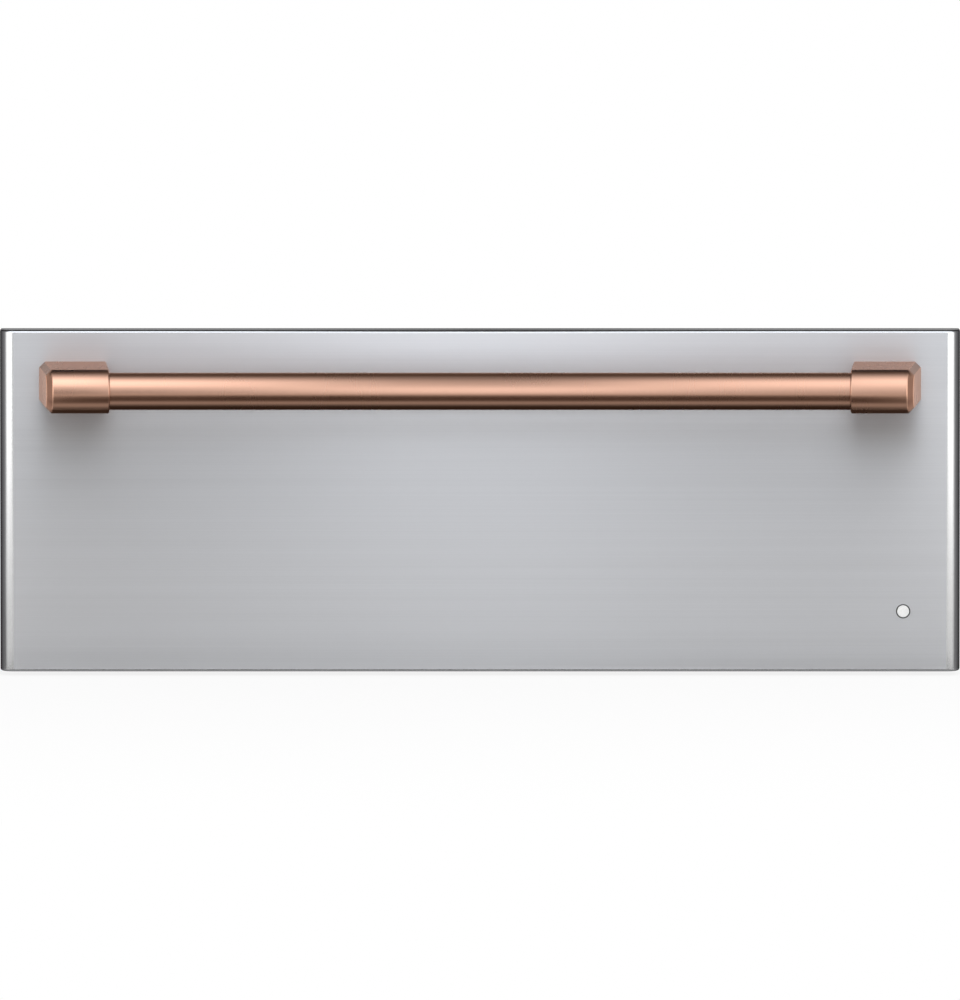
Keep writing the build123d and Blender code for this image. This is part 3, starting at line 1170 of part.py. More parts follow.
with BuildPart() as drawer_front_bar:
    bar_x = (SHEET_GAP - ledge_inside, ledge_inside - SHEET_GAP)
    plate_half = tab_inside - SHEET_GAP
    slab((-plate_half, plate_half), (inner_back, inner_back + DRAWER_SHEET),
         (rim_z - DRAWER_BAR_HEIGHT, rim_z))
    slab(bar_x, (inner_back, inner_back + DRAWER_BAR_LEDGE), (ledge_z, rim_z))
    pierce(bar_seats, TO_BACK, DRAWER_SHEET)
finish(drawer_front_bar, "drawer_front_bar")

with BuildPart() as drawer_screws:
    hex_screws(panel_seats, TO_BACK)
    hex_screws(tab_seats + bar_seats, TO_BACK)
    hex_screws(rail_seats, TO_RIGHT)
    hex_screws(mirrored(rail_seats), TO_LEFT)
finish(drawer_screws, "drawer_screws")

# Serving pan: a drawn shell with a flat rim that lies on the ledges.
def drawn_block(block, inset, top):
    """The pan's drawn form, moved in by an inset."""
    with BuildSketch(Plane.XY.offset(pan_bottom + inset)) as plan:
        strip((inset - pan_half, pan_half - inset), (pan_front + inset, pan_back - inset))
    extrude(plan.sketch, amount=top - pan_bottom - inset)
    fillet(block.edges().filter_by(Axis.Z), PAN_CORNER_RADIUS - inset)
    fillet(block.faces().sort_by(Axis.Z)[0].edges(), PAN_FOOT_RADIUS - inset)


with BuildPart() as pan_void:
    drawn_block(pan_void, PAN_SHEET, pan_top + OVERRUN)

with BuildPart() as serving_pan:
    drawn_block(serving_pan, 0, pan_top)
    with BuildSketch(Plane.XY.offset(rim_z)):
        with Locations((0, (pan_front + pan_back) / 2)):
            RectangleRounded(2 * (pan_half + PAN_RIM), pan_back - pan_front + 2 * PAN_RIM,
                             PAN_CORNER_RADIUS + PAN_RIM)
    extrude(amount=PAN_SHEET)
    add(pan_void.part, mode=Mode.SUBTRACT)
    fillet(serving_pan.faces().sort_by(Axis.Z)[-1].inner_wires()[0].edges(), PAN_LIP_RADIUS)
finish(serving_pan, "serving_pan")

# Half-width wire rack that stands in the pan.
with BuildPart() as wire_rack:
    rack_floor = pan_bottom + PAN_SHEET + SOFT_GAP
    rack_z = rack_floor + RACK_HEIGHT
    rack_x = (pan_half - RACK_WALL_GAP - RACK_WIDTH, pan_half - RACK_WALL_GAP)
    rack_y = (pan_front + RACK_WALL_GAP, pan_back - RACK_WALL_GAP)
    with BuildLine():
        rim = FilletPolyline((rack_x[0], rack_y[0], rack_z), (rack_x[1], rack_y[0], rack_z),
                             (rack_x[1], rack_y[1], rack_z), (rack_x[0], rack_y[1], rack_z),
                             radius=RACK_CORNER_RADIUS, close=True)
    with BuildSketch(Plane(origin=rim @ 0, z_dir=rim % 0)):
        Circle(RACK_FRAME_RADIUS)
    sweep()
    wire_z = rack_z + RACK_FRAME_RADIUS + RACK_WIRE_RADIUS - RACK_WELD
    wire_y = spread(rack_y[0] + RACK_CORNER_RADIUS, rack_y[1] - RACK_CORNER_RADIUS, RACK_WIRE_COUNT)
    with BuildSketch(Plane.YZ.offset(rack_x[0])):
        with Locations(*[(y, wire_z) for y in wire_y]):
            Circle(RACK_WIRE_RADIUS)
    extrude(amount=RACK_WIDTH)
    for x in rack_x:
        for y in (rack_y[0] + RACK_LEG_INSET, rack_y[1] - RACK_LEG_INSET):
            rod((x, y, rack_floor), UPWARDS, RACK_LEG_RADIUS, RACK_HEIGHT)
finish(wire_rack, "wire_rack")
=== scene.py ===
import math
from itertools import product

import bmesh
import bpy
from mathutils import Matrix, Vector, geometry, noise


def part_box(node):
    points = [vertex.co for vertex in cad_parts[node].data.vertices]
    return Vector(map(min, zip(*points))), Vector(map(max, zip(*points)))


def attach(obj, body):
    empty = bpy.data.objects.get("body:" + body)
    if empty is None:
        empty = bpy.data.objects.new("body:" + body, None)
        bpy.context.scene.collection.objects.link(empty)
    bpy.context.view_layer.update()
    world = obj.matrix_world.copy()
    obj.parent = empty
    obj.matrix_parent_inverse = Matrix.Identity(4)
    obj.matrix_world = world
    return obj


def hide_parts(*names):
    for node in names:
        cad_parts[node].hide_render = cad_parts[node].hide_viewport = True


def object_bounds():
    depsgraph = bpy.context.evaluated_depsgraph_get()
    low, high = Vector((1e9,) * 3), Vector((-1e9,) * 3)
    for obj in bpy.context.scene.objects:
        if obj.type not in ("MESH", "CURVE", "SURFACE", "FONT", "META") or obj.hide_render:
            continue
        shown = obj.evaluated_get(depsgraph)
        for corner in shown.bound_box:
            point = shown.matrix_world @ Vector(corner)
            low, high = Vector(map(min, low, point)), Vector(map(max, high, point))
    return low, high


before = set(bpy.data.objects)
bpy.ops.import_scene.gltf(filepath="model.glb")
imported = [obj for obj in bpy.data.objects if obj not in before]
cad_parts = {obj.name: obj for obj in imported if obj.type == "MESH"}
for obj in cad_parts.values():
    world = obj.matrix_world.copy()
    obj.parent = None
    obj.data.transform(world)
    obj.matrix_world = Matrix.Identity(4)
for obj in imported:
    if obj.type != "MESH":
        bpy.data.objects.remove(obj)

cad_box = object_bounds()


# Base: a flat pan on two folded channels, which stand on the floor of the cut-out.
# Galvanised sheet, cut and folded, with the large frosted grains of its zinc left bare.
def add_node(tree, kind, inputs=None, output=0, **settings):
    """One node with its inputs linked or set. Gives one of its outputs, or all of them for None."""
    node = tree.nodes.new("ShaderNode" + kind)
    for name, value in settings.items():
        setattr(node, name, value)
    for socket, value in (inputs or {}).items():
        if isinstance(value, bpy.types.NodeSocket):
            tree.links.new(value, node.inputs[socket])
        else:
            node.inputs[socket].default_value = value
    return node.outputs if output is None else node.outputs[output]


class Finish:
    """A finish and the nodes that make it."""

    def __init__(self, name, metallic, roughness):
        self.material = bpy.data.materials.new(name)
        self.material.use_nodes = True
        self.tree = self.material.node_tree
        self.shader = self.tree.nodes["Principled BSDF"]
        self.fix("Metallic", metallic)
        self.fix("Roughness", roughness)
        self.place = self.add("TexCoord", output="Object")

    def add(self, kind, inputs=None, output=0, **settings):
        return add_node(self.tree, kind, inputs, output, **settings)

    def fix(self, socket, value):
        """One value for the whole surface."""
        self.shader.inputs[socket].default_value = value

    def vary(self, socket, source):
        """A value that changes over the surface."""
        self.tree.links.new(source, self.shader.inputs[socket])

    def noise(self, cells, detail=3.0):
        """Noise with so many cells to a metre, the same all ways or one number each for X, Y and Z."""
        scale = cells if isinstance(cells, tuple) else (cells, cells, cells)
        spot = self.add("Mapping", {"Vector": self.place, "Scale": scale})
        return self.add("TexNoise", {"Vector": spot, "Scale": 1.0, "Detail": detail})

    def ramp(self, source, *stops):
        """Colours at places along a value from 0 to 1."""
        output = self.add("ValToRGB", {"Fac": source})
        elements = output.node.color_ramp.elements
        elements.remove(elements[1])
        elements[0].position, elements[0].color = stops[0][0], (*stops[0][1], 1)
        for place, tone in stops[1:]:
            elements.new(place).color = (*tone, 1)
        return output

    def shaded(self, source, tone, share, low=0.3, high=0.7):
        """A colour that goes from a darker to a lighter shade along a value."""
        dark, light = (tuple(part * (1 + side * share) for part in tone) for side in (-1, 1))
        return self.ramp(source, (low, dark), (high, light))

    def stretch(self, value, low, high, to_low=0.0, to_high=1.0, **settings):
        """A value between two ends, laid over two other ends."""
        return self.add("MapRange", {"Value": value, "From Min": low, "From Max": high,
                                     "To Min": to_low, "To Max": to_high}, **settings)

    def span(self, source, low, high):
        """The middle of a noise, stretched between two values."""
        return self.stretch(source, 0.3, 0.7, low, high)

    def combine(self, first, second, kind="ADD"):
        """Two values added, or joined by another operation."""
        return self.add("Math", {0: first, 1: second}, operation=kind)

    def mix(self, share, first, second, kind="MIX"):
        """Two colours, with a share of the second."""
        tones = [tone if isinstance(tone, bpy.types.NodeSocket) else (*tone, 1) for tone in (first, second)]
        return self.add("MixRGB", {"Fac": share, "Color1": tones[0], "Color2": tones[1]}, blend_type=kind)

    def relief(self, source, depth):
        """Small heights on the surface, in metres."""
        self.vary("Normal", self.add("Bump", {"Height": source, "Strength": 1.0, "Distance": depth}))

    def roughen(self, first, first_span, second, second_span):
        """Roughness from two patterns that add up, each between two values."""
        self.vary("Roughness", self.combine(self.span(first, *first_span), self.span(second, *second_span)))


def dress(finish, *names):
    """Gives CAD nodes a finish."""
    for name in names:
        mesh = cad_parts[name].data
        mesh.materials.clear()
        mesh.materials.append(finish.material)


def zinc_sheet():
    """Galvanised sheet: frosted grains that differ in shade and gloss, with faint stains."""
    zinc_grey, stain_grey = (0.52, 0.54, 0.555), (0.36, 0.37, 0.38)
    finish = Finish("zinc_sheet", metallic=1.0, roughness=0.4)
    waver = finish.add("TexNoise", {"Vector": finish.place, "Scale": 160.0}, "Color")
    bent = finish.mix(0.006, finish.place, waver)
    grains = finish.add("TexVoronoi", {"Vector": bent, "Scale": 120.0}, "Color")
    shade = finish.add("SeparateColor", {"Color": grains})
    stains = finish.noise(9, detail=5)
    tone = finish.shaded(shade, zinc_grey, 0.13, low=0.1, high=0.9)
    finish.vary("Base Color", finish.mix(finish.span(stains, 0.0, 0.3), tone, stain_grey))
    finish.roughen(shade, (0.30, 0.42), stains, (0.0, 0.12))
    finish.relief(finish.noise(700), depth=0.00002)
    return finish


galvanised = zinc_sheet()
dress(galvanised, "base_pan", "base_runners")


# Casing: two sides with turned-in flanges, a beaded top and a rear panel.
# The same galvanised sheet, held together by zinc-plated washer-head screws driven from outside.
dress(galvanised, "casing_side_left", "casing_side_right", "casing_top", "casing_rear")


def plated(name, tone, roughness):
    """Zinc-plated small steel: a soft sheen with blotches and fine scuffs."""
    finish = Finish(name, metallic=1.0, roughness=roughness)
    blotches = finish.noise(260, detail=4)
    scuffs = finish.noise((2200, 500, 900), detail=2)
    finish.vary("Base Color", finish.shaded(blotches, tone, 0.16))
    finish.roughen(blotches, (roughness - 0.06, roughness + 0.08), scuffs, (0.0, 0.1))
    finish.relief(scuffs, depth=0.00001)
    return finish


screw_zinc = plated("screw_zinc", (0.60, 0.59, 0.54), 0.32)
dress(screw_zinc, "body_screws")


# Liner: five sheets of vitreous enamel that meet edge to edge round the heated cavity.
# Dark grey glass on steel with pale specks, slightly wavy where it was fired.
def speckled_enamel():
    enamel_grey, speck_grey = (0.034, 0.036, 0.042), (0.30, 0.31, 0.33)
    finish = Finish("speckled_enamel", metallic=0.0, roughness=0.2)
    specks = finish.add("TexVoronoi", {"Vector": finish.place, "Scale": 420.0}, "Distance")
    patches = finish.noise(14, detail=4)
    ground = finish.shaded(patches, enamel_grey, 0.2)
    sparse = finish.span(finish.noise(300, detail=2), 0.0, 1.0)
    dots = finish.ramp(specks, (0.10, (1, 1, 1)), (0.16, (0, 0, 0)))
    finish.vary("Base Color", finish.mix(finish.combine(dots, sparse, "MULTIPLY"), ground, speck_grey))
    finish.vary("Roughness", finish.span(patches, 0.14, 0.3))
    finish.fix("Coat Weight", 0.4)
    finish.fix("Coat Roughness", 0.12)
    finish.relief(finish.noise(90), depth=0.00006)
    return finish


enamel = speckled_enamel()
dress(enamel, "liner_floor", "liner_side_left", "liner_side_right", "liner_top", "liner_rear")


# Heating element: one bent tube on three clips under a slotted shield on the liner's floor.
# The sheath is heat-darkened steel, the clips and the shield are stainless sheet gone straw-coloured.
def scorched(name, tone, hot_tone, roughness):
    """Steel that heat has tinted in clouds."""
    finish = Finish(name, metallic=1.0, roughness=roughness)
    clouds = finish.noise(22, detail=6)
    pits = finish.noise(900, detail=2)
    finish.vary("Base Color", finish.ramp(clouds, (0.32, tone), (0.68, hot_tone)))
    finish.roughen(clouds, (roughness - 0.08, roughness + 0.06), pits, (0.0, 0.1))
    finish.relief(pits, depth=0.00002)
    return finish


dress(scorched("element_sheath", (0.10, 0.085, 0.075), (0.20, 0.16, 0.13), 0.5), "heating_element")
shield_steel = scorched("shield_steel", (0.52, 0.51, 0.49), (0.46, 0.40, 0.31), 0.34)
dress(shield_steel, "element_clips", "heat_shield")


# Sensor and cut-out: a probe on a riveted plate in the rear wall, and a thermostat on the liner's roof.
# The probe is stainless, the thermostat a plated cap on a drilled strip.
dress(plated("probe_steel", (0.60, 0.60, 0.59), 0.28), "temperature_sensor", "limit_thermostat")


# Mineral wool: blankets on all sides of the liner, laid in before the casing is closed.
# Bonded fibre in a pale straw colour, with soft edges and a lumpy face.
def fibre_wool():
    straw = (0.56, 0.50, 0.36)
    finish = Finish("fibre_wool", metallic=0.0, roughness=0.95)
    fibres = finish.noise((260, 1400, 1400), detail=6)
    lumps = finish.noise(45, detail=4)
    tangle = finish.combine(finish.span(fibres, 0.1, 0.5), finish.span(lumps, 0.1, 0.5))
    finish.vary("Base Color", finish.shaded(tangle, straw, 0.25, low=0.2, high=0.8))
    finish.fix("Sheen Weight", 0.3)
    finish.relief(fibres, depth=0.0008)
    return finish


wool = fibre_wool()
wool_skin, wool_cell = 0.0025, 0.018
lumps_to_metre = 40
least_sink = 0.3


def add_piece(name, mesh, finish, body, slot, *stood_for):
    """A new piece that rides on a body and may stand for CAD nodes."""
    piece = bpy.data.objects.new(name, mesh)
    bpy.context.scene.collection.objects.link(piece)
    mesh.materials.append(finish.material)
    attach(piece, body)
    if stood_for:
        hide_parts(*stood_for)
    return piece


def weld(mesh, reach=1e-6):
    """Joins points that lie together and shades the mesh smoothly."""
    cloth = bmesh.new()
    cloth.from_mesh(mesh)
    bmesh.ops.remove_doubles(cloth, verts=cloth.verts, dist=reach)
    bmesh.ops.recalc_face_normals(cloth, faces=cloth.faces)
    cloth.to_mesh(mesh)
    cloth.free()
    mesh.shade_smooth()


def soft_point(low, size, share):
    """A point on a slab's skin, sunk towards the edges and in shallow lumps."""
    point = Vector(low[k] + share[k] * size[k] for k in range(3))
    lump = (noise.noise(point * lumps_to_metre) + 1) / 2
    deepest = wool_skin * (least_sink + (1 - least_sink) * lump)
    for k in range(3):
        edge = min(share[k], 1 - share[k])
        sink = deepest * max(0.0, 1 - edge * size[k] / wool_cell)
        point[k] += sink if share[k] < 0.5 else -sink
    return point


def wool_mesh(name, slabs):
    """Soft slabs between two corners each, with every face a grid that is welded to its neighbours."""
    points, faces = [], []
    for low, high in slabs:
        size = Vector(high) - Vector(low)
        count = [max(2, round(length / wool_cell)) for length in size]
        for axis, side in product(range(3), (0, 1)):
            u, v = (axis + 1) % 3, (axis + 2) % 3
            start, row = len(points), count[v] + 1
            for i, j in product(range(count[u] + 1), range(row)):
                share = [0.0, 0.0, 0.0]
                share[axis], share[u], share[v] = side, i / count[u], j / count[v]
                points.append(soft_point(Vector(low), size, share))
            for i, j in product(range(count[u]), range(count[v])):
                a = start + i * row + j
                quad = (a, a + row, a + row + 1, a + 1)
                faces.append(quad if side else quad[::-1])
    mesh = bpy.data.meshes.new(name)
    mesh.from_pydata(points, [], faces)
    weld(mesh)
    return mesh


wool_gap, control_bay = 0.0003, 0.066
casing_sheet, casing_flange = 0.001, 0.015
wool_low, wool_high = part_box("insulation_blankets")
liner_low, liner_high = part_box("liner_rear")
floor_low, floor_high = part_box("liner_floor")
roof_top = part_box("liner_top")[1].z
casing_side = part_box("casing_side_right")[1].x
inner_side = liner_high.x + wool_gap
outer_side = casing_side - casing_sheet - wool_gap
half_width = casing_side - casing_flange - wool_gap
wool_slabs = [
    # Below, above and behind the liner, then on its right and left.
    ((-half_width, wool_low.y, wool_low.z), (half_width, liner_low.y, floor_low.z - wool_gap)),
    ((-half_width, floor_low.y + control_bay, roof_top + wool_gap), (half_width, liner_low.y, wool_high.z)),
    ((-half_width, liner_high.y + wool_gap, wool_low.z), (half_width, wool_high.y, wool_high.z)),
    ((inner_side, wool_low.y, floor_high.z), (outer_side, liner_low.y, roof_top)),
    ((-outer_side, wool_low.y, floor_high.z), (-inner_side, liner_low.y, roof_top)),
]
wool_blankets = add_piece("wool_blankets", wool_mesh("wool_blankets", wool_slabs), wool, "cabinet", "wool",
                          "insulation_blankets")


# Front frame: a raised hat section round the opening, with a flange that is screwed to the cabinet's face.
# Folded sheet under a satin black powder coat, paler within about a millimetre of its edges.
def powder_coat(name, tone, roughness):
    edge_grey, edge_reach = (0.12, 0.12, 0.125), 0.0009
    finish = Finish(name, metallic=0.0, roughness=roughness)
    orange_peel = finish.noise(1300, detail=2)
    dust = finish.noise(35, detail=5)
    normal = finish.add("NewGeometry", output="Normal")
    rounded = finish.add("Bevel", {"Radius": edge_reach})
    bend = finish.add("VectorMath", {0: normal, 1: rounded}, "Value", operation="DOT_PRODUCT")
    # Paler where the rounded normal leans away from the true one, within about a millimetre of an edge.
    near_edge_share = finish.stretch(bend, 0.98, 0.80, to_low=0.0, to_high=0.6)
    finish.vary("Base Color", finish.mix(near_edge_share, finish.shaded(dust, tone, 0.25), edge_grey))
    finish.roughen(dust, (roughness - 0.05, roughness + 0.07), orange_peel, (0.0, 0.06))
    finish.relief(orange_peel, depth=0.00004)
    return finish


frame_black = powder_coat("frame_black", (0.022, 0.022, 0.024), 0.42)
dress(frame_black, "frame_top_rail", "frame_bottom_rail", "frame_stile_left", "frame_stile_right")


# Moisture vent: a slotted shutter that slides behind the top rail's slots by its small tab.
# Stamped sheet with the frame's coat.
dress(frame_black, "vent_slide")


# Controls: a moulded tray in the top rail, a heat switch behind it and a fluted knob on the switch's shaft.
# The tray and knob are black plastic and the switch is moulded phenolic.
def moulded(name, tone, roughness, grain=1500):
    """Moulded plastic with a fine grain and slight flow marks."""
    finish = Finish(name, metallic=0.0, roughness=roughness)
    grains = finish.noise(grain, detail=2)
    flow = finish.noise((30, 12, 45), detail=4)
    finish.vary("Base Color", finish.shaded(flow, tone, 0.15))
    finish.roughen(flow, (roughness - 0.04, roughness + 0.05), grains, (0.0, 0.06))
    finish.relief(grains, depth=0.00003)
    return finish


dress(moulded("console_plastic", (0.020, 0.020, 0.021), 0.5), "control_console")
dress(moulded("knob_plastic", (0.022, 0.022, 0.024), 0.36), "control_knob")
dress(moulded("switch_plastic", (0.34, 0.31, 0.25), 0.55), "heat_control_switch")


# Dial: one wide mark for off and six for heat, printed on the tray's floor round the knob.
# White ink. The knob's pointer is a line of the same white, filled into the groove in its face.
mark_white = moulded("mark_white", (0.78, 0.78, 0.76), 0.5)
knob_low, knob_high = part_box("control_knob")
knob_radius = (knob_high.z - knob_low.z) / 2
dial_x = (knob_low.x + knob_high.x) / 2
dial_z = (knob_low.z + knob_high.z) / 2
tray_sheet, ink_film = 0.002, 0.00012
tray_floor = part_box("control_console")[1].y - tray_sheet
mark_inner, mark_outer = 0.0153, 0.0181
off_width, heat_width = 0.0011, 0.0007
heat_start, heat_end, heat_marks = math.radians(40), math.radians(270), 6


def plate_mesh(name, outlines, front, back):
    """Thin plates between two depths, each from a flat outline in X and Z."""
    points, faces = [], []
    for outline in outlines:
        start, count = len(points), len(outline)
        points += [(x, y, z) for y in (front, back) for x, z in outline]
        faces.append(tuple(range(start, start + count)))
        faces.append(tuple(range(start + 2 * count - 1, start + count - 1, -1)))
        for i in range(count):
            a, b = start + i, start + (i + 1) % count
            faces.append((a, a + count, b + count, b))
    mesh = bpy.data.meshes.new(name)
    mesh.from_pydata(points, [], faces)
    return mesh


def dial_mark(angle, width):
    """The outline of one mark that points at the knob's axis, with angles clockwise from the top."""
    outline = []
    for side, radius in ((-1, mark_inner), (-1, mark_outer), (1, mark_outer), (1, mark_inner)):
        turn = angle + side * width / radius / 2
        outline.append((dial_x + radius * math.sin(turn), dial_z + radius * math.cos(turn)))
    return outline


outlines = [dial_mark(0, off_width)]
for step in range(heat_marks):
    outlines.append(dial_mark(heat_start + (heat_end - heat_start) * step / (heat_marks - 1), heat_width))
add_piece("dial_marks", plate_mesh("dial_marks", outlines, tray_floor - ink_film, tray_floor), mark_white,
          "cabinet", "lamp_plastic")

pointer_half, pointer_length, pointer_edge = 0.00074, 0.0078, 0.0023
pointer_front, pointer_back = 0.00008, 0.0006
pointer_top = dial_z + knob_radius - pointer_edge
pointer_foot = pointer_top - pointer_length
pointer_outline = [(dial_x - pointer_half, pointer_top), (dial_x + pointer_half, pointer_top),
                   (dial_x + pointer_half, pointer_foot), (dial_x - pointer_half, pointer_foot)]
pointer_mesh = plate_mesh("knob_pointer", [pointer_outline], knob_low.y + pointer_front,
                          knob_low.y + pointer_back)
add_piece("knob_pointer", pointer_mesh, mark_white, "control_knob", "lamp_plastic")


# Slides: telescopic rails on both sides, with strips of balls between their members.
# Roll-formed steel, bright zinc plated, with polished balls and nylon levers that free the drawer.
def drawn_metal(name, tone, roughness, cells, share=0.07):
    """Metal with fine lines along one direction and soft clouds of handling."""
    finish = Finish(name, metallic=1.0, roughness=roughness)
    lines = finish.noise(cells, detail=4)
    clouds = finish.noise(8, detail=3)
    finish.vary("Base Color", finish.shaded(lines, tone, share))
    finish.roughen(lines, (roughness - 0.04, roughness + 0.04), clouds, (-0.03, 0.05))
    finish.relief(lines, depth=0.000012)
    return finish


rail_zinc = drawn_metal("rail_zinc", (0.60, 0.61, 0.63), 0.3, (1800, 6, 1800))
cage_steel = drawn_metal("cage_steel", (0.62, 0.62, 0.60), 0.18, 900, 0.05)
lever_plastic = moulded("lever_plastic", (0.02, 0.06, 0.16), 0.45)
for side in ("left", "right"):
    dress(rail_zinc, f"cabinet_rail_{side}", f"intermediate_rail_{side}", f"drawer_rail_{side}")
    dress(cage_steel, f"ball_cage_outer_{side}", f"ball_cage_inner_{side}")
    dress(lever_plastic, f"release_lever_{side}")
dress(rail_zinc, "rail_standoffs")
dress(screw_zinc, "rail_screws")


# Drawer frame: two sides, a rear and a front bar with ledges that hold the pan by its rim.
# Folded satin stainless sheet, screwed to the inner panel and to the slides.
inner_steel = drawn_metal("inner_steel", (0.50, 0.51, 0.52), 0.36, (5, 900, 2600))
dress(inner_steel, "drawer_side_left", "drawer_side_right", "drawer_rear", "drawer_front_bar")
dress(screw_zinc, "drawer_screws")


# Serving pan and rack: a deep-drawn stainless pan that lifts out, and a welded wire rack standing in it.
# The pan is satin with faint drawing lines, the rack is bright chrome plate.
dress(drawn_metal("pan_steel", (0.62, 0.62, 0.63), 0.27, (14, 1500, 1500), 0.05), "serving_pan")
dress(drawn_metal("wire_chrome", (0.72, 0.72, 0.73), 0.1, 400, 0.04), "wire_rack")


# Inner panel of the front, with the wool pad that lies between it and the outer panel.
# Satin stainless sheet like the drawer's, and the same mineral wool as round the liner.
dress(inner_steel, "front_inner_panel")
front_pad = add_piece("front_pad", wool_mesh("front_pad", [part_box("front_insulation")]), wool, "drawer",
                      "wool", "front_insulation")


# Seal: a bulb on a flat foot all round the inner panel, which meets the frame when the drawer is shut.
# Dark silicone, extruded in one length, with vulcanised corners.
def silicone():
    finish = Finish("silicone", metallic=0.0, roughness=0.55)
    bloom = finish.noise(60, detail=5)
    finish.vary("Base Color", finish.ramp(bloom, (0.3, (0.022, 0.022, 0.024)), (0.7, (0.042, 0.042, 0.044))))
    finish.vary("Roughness", finish.span(bloom, 0.45, 0.65))
    finish.relief(finish.noise(1600, detail=2), depth=0.00004)
    return finish


seal_low, seal_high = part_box("front_gasket")
seal_width, seal_corner, corner_steps = 0.006, 0.009, 12
seal_height = seal_high.y - seal_low.y
seal_flank = [(0.5, 0.0), (0.5, 0.16), (0.42, 0.22), (0.42, 0.3), (0.46, 0.42), (0.44, 0.62), (0.34, 0.84),
              (0.18, 0.97)]
seal_profile = [(-across, up) for across, up in seal_flank] + [(0.0, 1.0)] + seal_flank[::-1]


def seal_path():
    """The seal's middle line: a rounded rectangle, as points with the direction that looks outwards."""
    inset = seal_width / 2 + seal_corner
    left, right = seal_low.x + inset, seal_high.x - inset
    low, high = seal_low.z + inset, seal_high.z - inset
    path = []
    for x, z, start in ((right, high, 0), (left, high, 90), (left, low, 180), (right, low, 270)):
        for step in range(corner_steps + 1):
            angle = math.radians(start + 90 * step / corner_steps)
            out = Vector((math.cos(angle), 0, math.sin(angle)))
            path.append((Vector((x, 0, z)) + out * seal_corner, out))
    return path


def seal_mesh():
    """The profile carried along the path and closed on itself."""
    points, faces, path, count = [], [], seal_path(), len(seal_profile)
    for spot, out in path:
        for across, up in seal_profile:
            point = spot + out * across * seal_width
            points.append((point.x, seal_low.y + up * seal_height, point.z))
    for i, k in product(range(len(path)), range(count)):
        here, there, m = i * count, (i + 1) % len(path) * count, (k + 1) % count
        faces.append((here + k, here + m, there + m, there + k))
    mesh = bpy.data.meshes.new("bulb_seal")
    mesh.from_pydata(points, [], faces)
    weld(mesh)
    return mesh


add_piece("bulb_seal", seal_mesh(), silicone(), "drawer", "seal_rubber", "front_gasket")


# Outer panel of the front: one sheet with rolled vertical edges and small bends along top and bottom.
# Horizontally brushed stainless, glossier on the rolls and bends, with painted highlights and painted shade
# set by which way the sheet faces.
panel_low, panel_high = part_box("front_panel")
panel_y = panel_low.y


def front_brush():
    steel, roll_roughness, face_roughness = (0.757, 0.755, 0.763), 0.20, 0.36
    finish = Finish("front_brush", metallic=0.8, roughness=face_roughness)
    fine = finish.noise((2.5, 2400, 2400), detail=3)
    broad = finish.noise((0.9, 160, 160), detail=3)
    clouds = finish.noise(3, detail=2)
    lines = finish.combine(finish.span(fine, 0.0, 0.6), finish.span(broad, 0.0, 0.4))
    face = finish.shaded(lines, steel, 0.02, low=0.2, high=0.8)
    normal = finish.add("SeparateXYZ", {0: finish.add("NewGeometry", output="Normal")}, None)
    forwards = finish.combine(normal["Y"], -1.0, "MULTIPLY")
    upwards = finish.stretch(normal["Z"], -0.3, -0.05)
    # Painted by facing: a painted highlight along each roll and the top bend, and painted shade on the side
    # returns and the top face.
    roll_painted_light = finish.ramp(forwards, (0.40, (0.07, 0.07, 0.072)), (0.60, (0.10, 0.10, 0.103)),
                       (0.72, (0.15, 0.15, 0.155)), (0.80, (0.25, 0.25, 0.255)),
                       (0.86, (0.62, 0.62, 0.625)), (0.91, (0.84, 0.84, 0.84)))
    # Painted shade on the bends and faces that look down.
    under = finish.ramp(forwards, (0.30, (0.08, 0.08, 0.083)), (0.97, (0.34, 0.34, 0.35)))
    flat = finish.stretch(forwards, 0.9988, 0.9999)
    finish.vary("Base Color", finish.mix(flat, finish.mix(upwards, under, roll_painted_light), face))
    gloss = finish.stretch(flat, 0.0, 1.0, roll_roughness, face_roughness)
    streaks = finish.combine(finish.span(lines, -0.02, 0.02), finish.span(clouds, -0.015, 0.015))
    finish.vary("Roughness", finish.combine(gloss, streaks))
    finish.relief(finish.combine(fine, flat, "MULTIPLY"), depth=0.000004)
    finish.fix("Anisotropic", 0.7)
    finish.fix("Anisotropic Rotation", 0.25)
    finish.fix("Specular Tint", (0.2, 0.2, 0.205, 1))
    finish.fix("Specular IOR Level", 0.1)
    finish.vary("Tangent", finish.add("Tangent", direction_type="RADIAL", axis="Z"))
    return finish


dress(front_brush(), "front_panel")


# Handle: a tube set into two solid posts, which are screwed on from inside the panel.
# Steel under a copper-coloured coat, brushed round the tube and the posts.
# The bevels at the posts' outer ends are a darker copper, which is painted shade.
def copper_brush(name, tone, cells):
    finish = Finish(name, metallic=1.0, roughness=0.3)
    strokes = finish.noise(cells, detail=1)
    clouds = finish.noise(20, detail=1)
    finish.vary("Base Color", finish.shaded(clouds, tone, 0.015, low=0.25, high=0.75))
    finish.roughen(strokes, (0.273, 0.283), clouds, (-0.01, 0.01))
    finish.relief(strokes, depth=0.0000001)
    finish.fix("Specular Tint", (0.92, 0.72, 0.61, 1))
    finish.fix("Anisotropic", 0.2)
    finish.fix("Anisotropic Rotation", 0.25)
    finish.fix("Coat Weight", 0.3)
    finish.fix("Coat Roughness", 0.28)
    finish.vary("Tangent", finish.add("Tangent", direction_type="RADIAL", axis="X"))
    return finish


copper = copper_brush("copper", (0.645, 0.362, 0.248), (160, 12, 12))
# Darker copper for the posts' outer bevels: painted shade.
bevel_painted_shade = copper_brush("bevel_painted_shade", (0.26, 0.13, 0.085), (160, 20, 20))
dress(copper, "handle_bar")
post_outer_flare, post_inner_flare = 0.0076, 0.0039
post_bevel, post_inner_bevel, post_edge = 0.0047, 0.0008, 0.0006
post_turns, edge_steps = 48, 4
post_crease = math.radians(28)
socket_radius, socket_depth = 0.0147, 0.010


